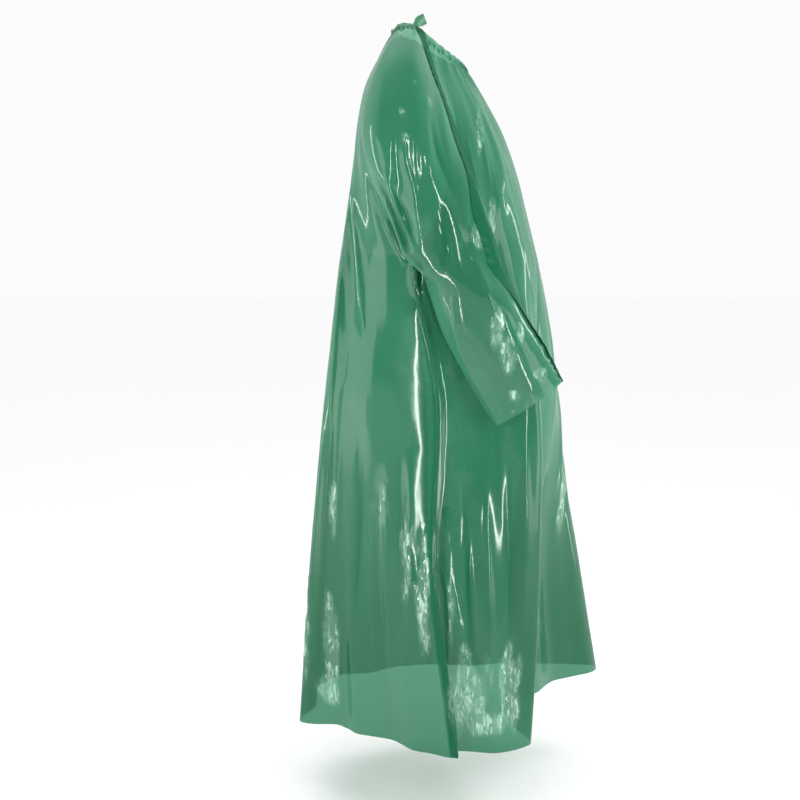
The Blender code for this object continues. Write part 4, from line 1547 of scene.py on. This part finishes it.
    def casing_seam(self, panel: FilmPanel) -> np.ndarray:
        """Return the rise of the gathered seam below the neckline, and mark its weld.

        Args:
            panel: The panel.

        Returns:
            The rise of each of its points.
        """
        rise = np.zeros(len(panel.points))
        rows = panel.blocks["yoke"][:self.casing_rows]
        (dip, dip_width), (swell, swell_width, swell_place) = self.casing_dip, self.casing_swell
        for column in range(len(rows[0])):
            line = [panel.points[row[column]] for row in rows]
            turn = math.atan2(line[0].y, line[0].x)
            drop = self.form.casing * (
                1.0 + self.casing_ripples[0].at(turn) + self.casing_ripples[1].at(turn))
            pull = 0.5 + 0.5 * math.sin(turn * self.casing_pleats + self.casing_sway.at(turn))
            for row, run in list(zip(rows, runs_along(line)))[1:]:
                near = math.exp(-((run - drop) / dip_width) ** 2)
                above = math.exp(-((run - drop * swell_place) / swell_width) ** 2)
                rise[row[column]] += swell * above - dip * near * (0.3 + 0.7 * pull)
                panel.weld[row[column]] = max(panel.weld.get(row[column], 0.0),
                                              self.casing_press * near * pull)
        return rise

    def calmness(self, panel: FilmPanel) -> np.ndarray:
        """Return 0 at the welds and the lap's edge, rising to 1 in free film.

        Args:
            panel: The panel.

        Returns:
            A value for each of its points.
        """
        calm = np.ones(len(panel.points))
        for row in (row for rows in panel.blocks.values() for row in rows):
            for edge in range(min(self.calm_columns, len(row) // 2)):
                for number in (row[edge], row[-1 - edge]):
                    calm[number] = min(calm[number], smooth(edge / self.calm_columns))
        for number, press in panel.weld.items():
            calm[number] = min(calm[number], 1.0 - press)
        for index, row in enumerate(panel.blocks["yoke"][:self.calm_rows]):
            calm[row] = np.minimum(calm[row], smooth(index / self.calm_rows))
        return calm


@dataclass
class NeckTies:
    """The two tie ends and their knot, on the back's neckline.

    The knot is wide, deep and tall. Its turns have a depth, a number and a slant.
    """

    form: GownForm
    width: float = 0.013
    clear: float = 0.0022
    top: float = 0.002
    strands: int = 5
    wall: float = 0.0004
    flutter: Ripple = Ripple(0.0003, 0.6, 1.0)
    curl: float = 0.0006
    curl_run: float = 0.2
    neck_place: float = 0.22
    neck_step: int = 2
    tip: tuple = (-0.0865, 0.0115, 0.0165)
    tip_width: float = 0.020
    tip_spread: float = 1.6
    tip_down: tuple = (0.0, -0.36, -0.93)
    tab_bow: float = 0.002
    tab_steps: int = 14
    tab_twist: float = 2.4
    tail_start: float = 0.011
    tail_length: float = 0.105
    tail_place: float = 0.05
    tail_out: tuple = (0.0, 1.0, 0.25)
    tail_swing: Ripple = Ripple(0.004, 40.0)
    knot: tuple = (0.0080, 0.0048, 0.0070)
    knot_clear: float = 0.0012
    knot_drop: float = 0.9
    knot_tube: float = 0.55
    knot_turns: tuple = (0.07, 7.0, 60.0)

    def neck_row(self, place: float) -> list[Vector]:
        """Return a gathered row of the back's yoke."""
        return self.form.gathered(self.form.yoke_back_row(place), place)

    def strip(self, name: str, rows: Sequence[Sequence[Vector]],
              finish: bpy.types.Material) -> bpy.types.Object:
        """Make a soft flat strip from its sections, with its long edges curled a little.

        Args:
            name: The piece's name.
            rows: Its sections, each an upper and a lower point.
            finish: Its material.

        Returns:
            The finished piece.
        """
        panel = FilmPanel(name)
        sections = []
        for index, (upper, lower) in enumerate(rows):
            after, before = rows[min(index + 1, len(rows) - 1)], rows[max(index - 1, 0)]
            run = (after[0] + after[1] - before[0] - before[1]).normalized()
            out = turned_out(run.cross(lower - upper).normalized(), (upper + lower) / 2)
            sections.append([
                upper.lerp(lower, step / self.strands) + out * (
                    self.flutter.at(index) + self.curl * math.sin(
                        math.pi * step / self.strands * 2.0 + index * self.curl_run))
                for step in range(self.strands + 1)])
        panel.add_rows("strip", sections)
        made = panel.piece()
        self.shape(made, finish)
        return made

    def shape(self, made: bpy.types.Object, finish: bpy.types.Material) -> None:
        """Give a strip its thickness, round it and dress it.

        Args:
            made: The strip.
            finish: Its material.
        """
        deselect()
        bpy.context.view_layer.objects.active = made
        made.select_set(True)
        wall = made.modifiers.new("wall", "SOLIDIFY")
        wall.thickness = self.wall
        wall.offset = 0.0
        round_off = made.modifiers.new("round_off", "SUBSURF")
        round_off.levels = round_off.render_levels = 1
        for modifier in ("wall", "round_off"):
            bpy.ops.object.modifier_apply(modifier=modifier)
        made.data.shade_smooth()
        made.data.materials.append(finish)

    def along_neck(self) -> list[tuple]:
        """Return the right tie's sections along the neckline, from the knot to the arm.

        Returns:
            The sections, each an upper and a lower point.
        """
        form = self.form
        row, under = self.neck_row(0.0), self.neck_row(self.neck_place)
        sections = []
        for column in range(form.centre_column - form.across,
                            form.outer_steps[0] * form.across, -self.neck_step):
            start = row[column]
            drop = under[column] - start
            out = turned_out((row[column + 1] - row[column - 1]).cross(drop).normalized(), start)
            out *= self.clear + form.lap_lift * 0.5
            down = drop.normalized()
            sections.append((start + down * self.top + out,
                             start + down * (self.top + self.width) + out))
        return sections

    def right(self, finish: bpy.types.Material) -> bpy.types.Object:
        """Make the right tie: along the neckline, then up to its standing tip.

        Args:
            finish: Its material.

        Returns:
            The finished piece.
        """
        rows = self.along_neck()
        start = (rows[-1][0] + rows[-1][1]) / 2
        start_down = (rows[-1][1] - rows[-1][0]).normalized()
        for step in range(1, self.tab_steps + 1):
            share = step / self.tab_steps
            middle = start.lerp(Vector(self.tip), share)
            middle.x -= self.tab_bow * math.sin(math.pi * share)
            down = start_down.lerp(Vector(self.tip_down), smooth(share * self.tab_twist))
            spread = smooth(share * self.tip_spread)
            reach = down.normalized() * (self.width + (self.tip_width - self.width) * spread) / 2
            rows.append((middle - reach, middle + reach))
        return self.strip("tie_film_right", rows, finish)

    def left(self, finish: bpy.types.Material) -> bpy.types.Object:
        """Make the left tie: its tail hangs from the knot down the lapped back.

        Args:
            finish: Its material.

        Returns:
            The finished piece.
        """
        column = self.form.centre_column
        out = Vector(self.tail_out).normalized() * (self.clear + self.form.lap_lift)
        rows, places, run = [], [], 0.0
        while run < self.tail_length:
            row = self.neck_row(len(places) * self.tail_place)
            places.append(row[column])
            run = runs_along(places)[-1]
            if run >= self.tail_start:
                across = (row[column - BESIDE] - row[column]).normalized()
                start = row[column] + out - across * self.tail_swing.at(run)
                rows.append((start, start + across * self.width))
        return self.strip("tie_film_left", rows, finish)

    def knot_piece(self, finish: bpy.types.Material) -> bpy.types.Object:
        """Make the knot: film wound round itself, pulled into a small lump.

        Args:
            finish: Its material.

        Returns:
            The finished piece.
        """
        wide, deep, tall = self.knot
        place = self.neck_row(0.0)[self.form.centre_column] + Vector((
            0.0, deep + self.form.lap_lift + self.knot_clear, -tall * self.knot_drop))
        deselect()
        bpy.ops.mesh.primitive_torus_add(
            location=(0.0, 0.0, 0.0), major_radius=1.0, minor_radius=self.knot_tube,
            major_segments=40, minor_segments=20)
        made = bpy.context.active_object
        made.name = "tie_film_knot"
        rim = 1.0 + self.knot_tube
        turn = Matrix.Rotation(math.radians(90.0), 4, "X")
        size = Matrix.Diagonal((wide / rim, deep, tall / rim, 1.0))
        made.data.transform(Matrix.Translation(place) @ size @ turn)
        depth, winds, slant = self.knot_turns
        for vertex in made.data.vertices:
            arm = vertex.co - place
            turns = winds * math.atan2(arm.z, arm.x) + slant * arm.y / 0.01
            vertex.co = place + arm * (1.0 + depth * math.sin(turns))
        made.data.shade_smooth()
        made.data.materials.append(finish)
        return made


class Lamp(NamedTuple):
    """A soft rectangular light: its place, its width and height, and its power."""

    place: tuple
    size: tuple
    power: float


LAMPS = {
    "rear_strip": Lamp((-2.2, 1.5, -0.3), (0.12, 1.9), 28.0),
    "front_strip": Lamp((-2.3, -1.3, -0.3), (0.14, 1.9), 32.0),
    "rear_edge": Lamp((0.9, 2.3, -0.5), (0.10, 1.9), 9.0),
    "front_edge": Lamp((0.9, -2.3, -0.5), (0.10, 1.9), 9.0),
    "rear_box": Lamp((-0.7, 2.8, -0.5), (1.1, 1.8), 14.0),
    "front_box": Lamp((-1.2, -2.5, -0.4), (1.1, 1.9), 20.0),
    "camera_side": Lamp((-3.2, 0.4, 1.0), (0.22, 0.22), 8.0),
}


@dataclass
class Studio:
    """Floor, surround, lights and camera. Angles are in degrees."""

    floor_z: float = -1.424
    floor_size: float = 80.0
    camera_place: tuple = (-2.5, 0.0564, -0.424)
    tilt: float = 3.0
    drop_px: float = 64.0
    focal_px: float = 1338.0
    frame_px: float = 800.0
    sensor: float = 36.0
    dim_side: float = 0.10
    backdrop_side: float = 0.82
    surround_seen: float = 0.97
    above_light: float = 1.98
    above_spread: float = 70.0
    above_lean: tuple = (8.0, -12.0)
    gown_middle: tuple = (0.0, 0.0, -0.6)

    def build(self) -> None:
        """Build the whole studio."""
        self.floor()
        self.surround()
        self.daylight()
        for name, lamp in LAMPS.items():
            self.hang(name, lamp)
        self.camera()

    def floor(self) -> None:
        """Lay the pale floor."""
        deselect()
        bpy.ops.mesh.primitive_plane_add(size=1.0)
        made = bpy.context.active_object
        made.name = "floor"
        made.data.transform(Matrix.Translation((0.0, 0.0, self.floor_z))
                            @ Matrix.Diagonal((self.floor_size, self.floor_size, 1.0, 1.0)))
        made.data.materials.append(FloorFinish().material())

    def surround(self) -> None:
        """Set a white surround: the backdrop side lights the film's edges, the other is dim."""
        world = bpy.data.worlds.new("studio")
        bpy.context.scene.world = world
        sheet = NodeSheet(world, "ShaderNodeOutputWorld")
        way = sheet.add("ShaderNodeTexCoord", output="Generated")
        across = sheet.add("ShaderNodeSeparateXYZ", inputs={"Vector": way}, output="X")
        light = sheet.eased(across, -0.5, 0.6, self.dim_side, self.backdrop_side)
        seen = sheet.add("ShaderNodeLightPath", output="Is Camera Ray")
        strength = seen * self.surround_seen + (1 - seen) * light
        sheet.finish(sheet.add("ShaderNodeBackground", inputs={
            "Color": (1.0, 1.0, 1.0, 1.0), "Strength": strength}))

    def daylight(self) -> None:
        """Add a broad soft light from above."""
        light = bpy.data.lights.new("above", "SUN")
        light.energy = self.above_light
        light.angle = math.radians(self.above_spread)
        made = placed("above", light)
        made.rotation_euler = Euler((*map(math.radians, self.above_lean), 0.0))
        made.visible_glossy = False

    def hang(self, name: str, lamp: Lamp) -> None:
        """Hang a lamp so that it looks at the gown's middle.

        Args:
            name: The lamp's name.
            lamp: Its place, size and power.
        """
        light = bpy.data.lights.new(name, "AREA")
        light.shape = "RECTANGLE"
        light.size, light.size_y = lamp.size
        light.energy = lamp.power
        made = placed(name, light)
        made.visible_camera = False
        made.location = lamp.place
        aim = Vector(self.gown_middle) - Vector(lamp.place)
        made.rotation_euler = aim.to_track_quat("-Z", "Y").to_euler()

    def camera(self) -> None:
        """Add the camera at the photograph's angle."""
        lens = bpy.data.cameras.new("camera")
        lens.sensor_fit = "HORIZONTAL"
        lens.sensor_width = self.sensor
        lens.lens = self.focal_px * self.sensor / self.frame_px
        lens.shift_y = -self.drop_px / self.frame_px
        made = placed("camera", lens)
        made.location = self.camera_place
        made.rotation_euler = Euler((math.radians(90.0 - self.tilt), 0.0, math.radians(-90.0)))
        bpy.context.scene.camera = made


def declare(piece: bpy.types.Object, slot: str, *nodes: str) -> None:
    """Let a piece ride on the gown and stand for its solids.

    Args:
        piece: The piece.
        slot: Not used.
        nodes: The solids it stands for.
    """
    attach(piece, "root")
    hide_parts(*nodes)


def dress(form: GownForm) -> None:
    """Args:
        form: The gown's form.
    """
    gown = Gown(form, FilmRelief())
    front = gown.build_front()
    backs = {side: gown.build_back(side) for side in Side}
    for side, back in backs.items():
        gown.weld_edges(front, back, side)
    film = FILM.material()
    pieces = {panel.name: gown.mesh(panel, film) for panel in (front, *backs.values())}
    for name, piece in pieces.items():
        declare(piece, "film", name.removeprefix("film_"))
        LOG.info("%s: %d points", name, len(piece.data.vertices))


def tie(form: GownForm) -> None:
    """Args:
        form: The gown's form.
    """
    film = TIE_FILM.material()
    ties = NeckTies(form)
    declare(ties.right(film), "tie", "neck_tie_right")
    declare(ties.left(film), "tie", "neck_tie_left")
    declare(ties.knot_piece(film), "tie", "tie_knot")


def main() -> None:
    """Dress the gown and light it."""
    logging.basicConfig(level=logging.INFO, format="%(message)s")
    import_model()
    scene = bpy.context.scene
    scene.view_settings.view_transform = "Standard"
    scene.cycles.transparent_max_bounces = 32
    form = GownForm()
    dress(form)
    tie(form)
    Studio().build()


if __name__ == "__main__":
    main()
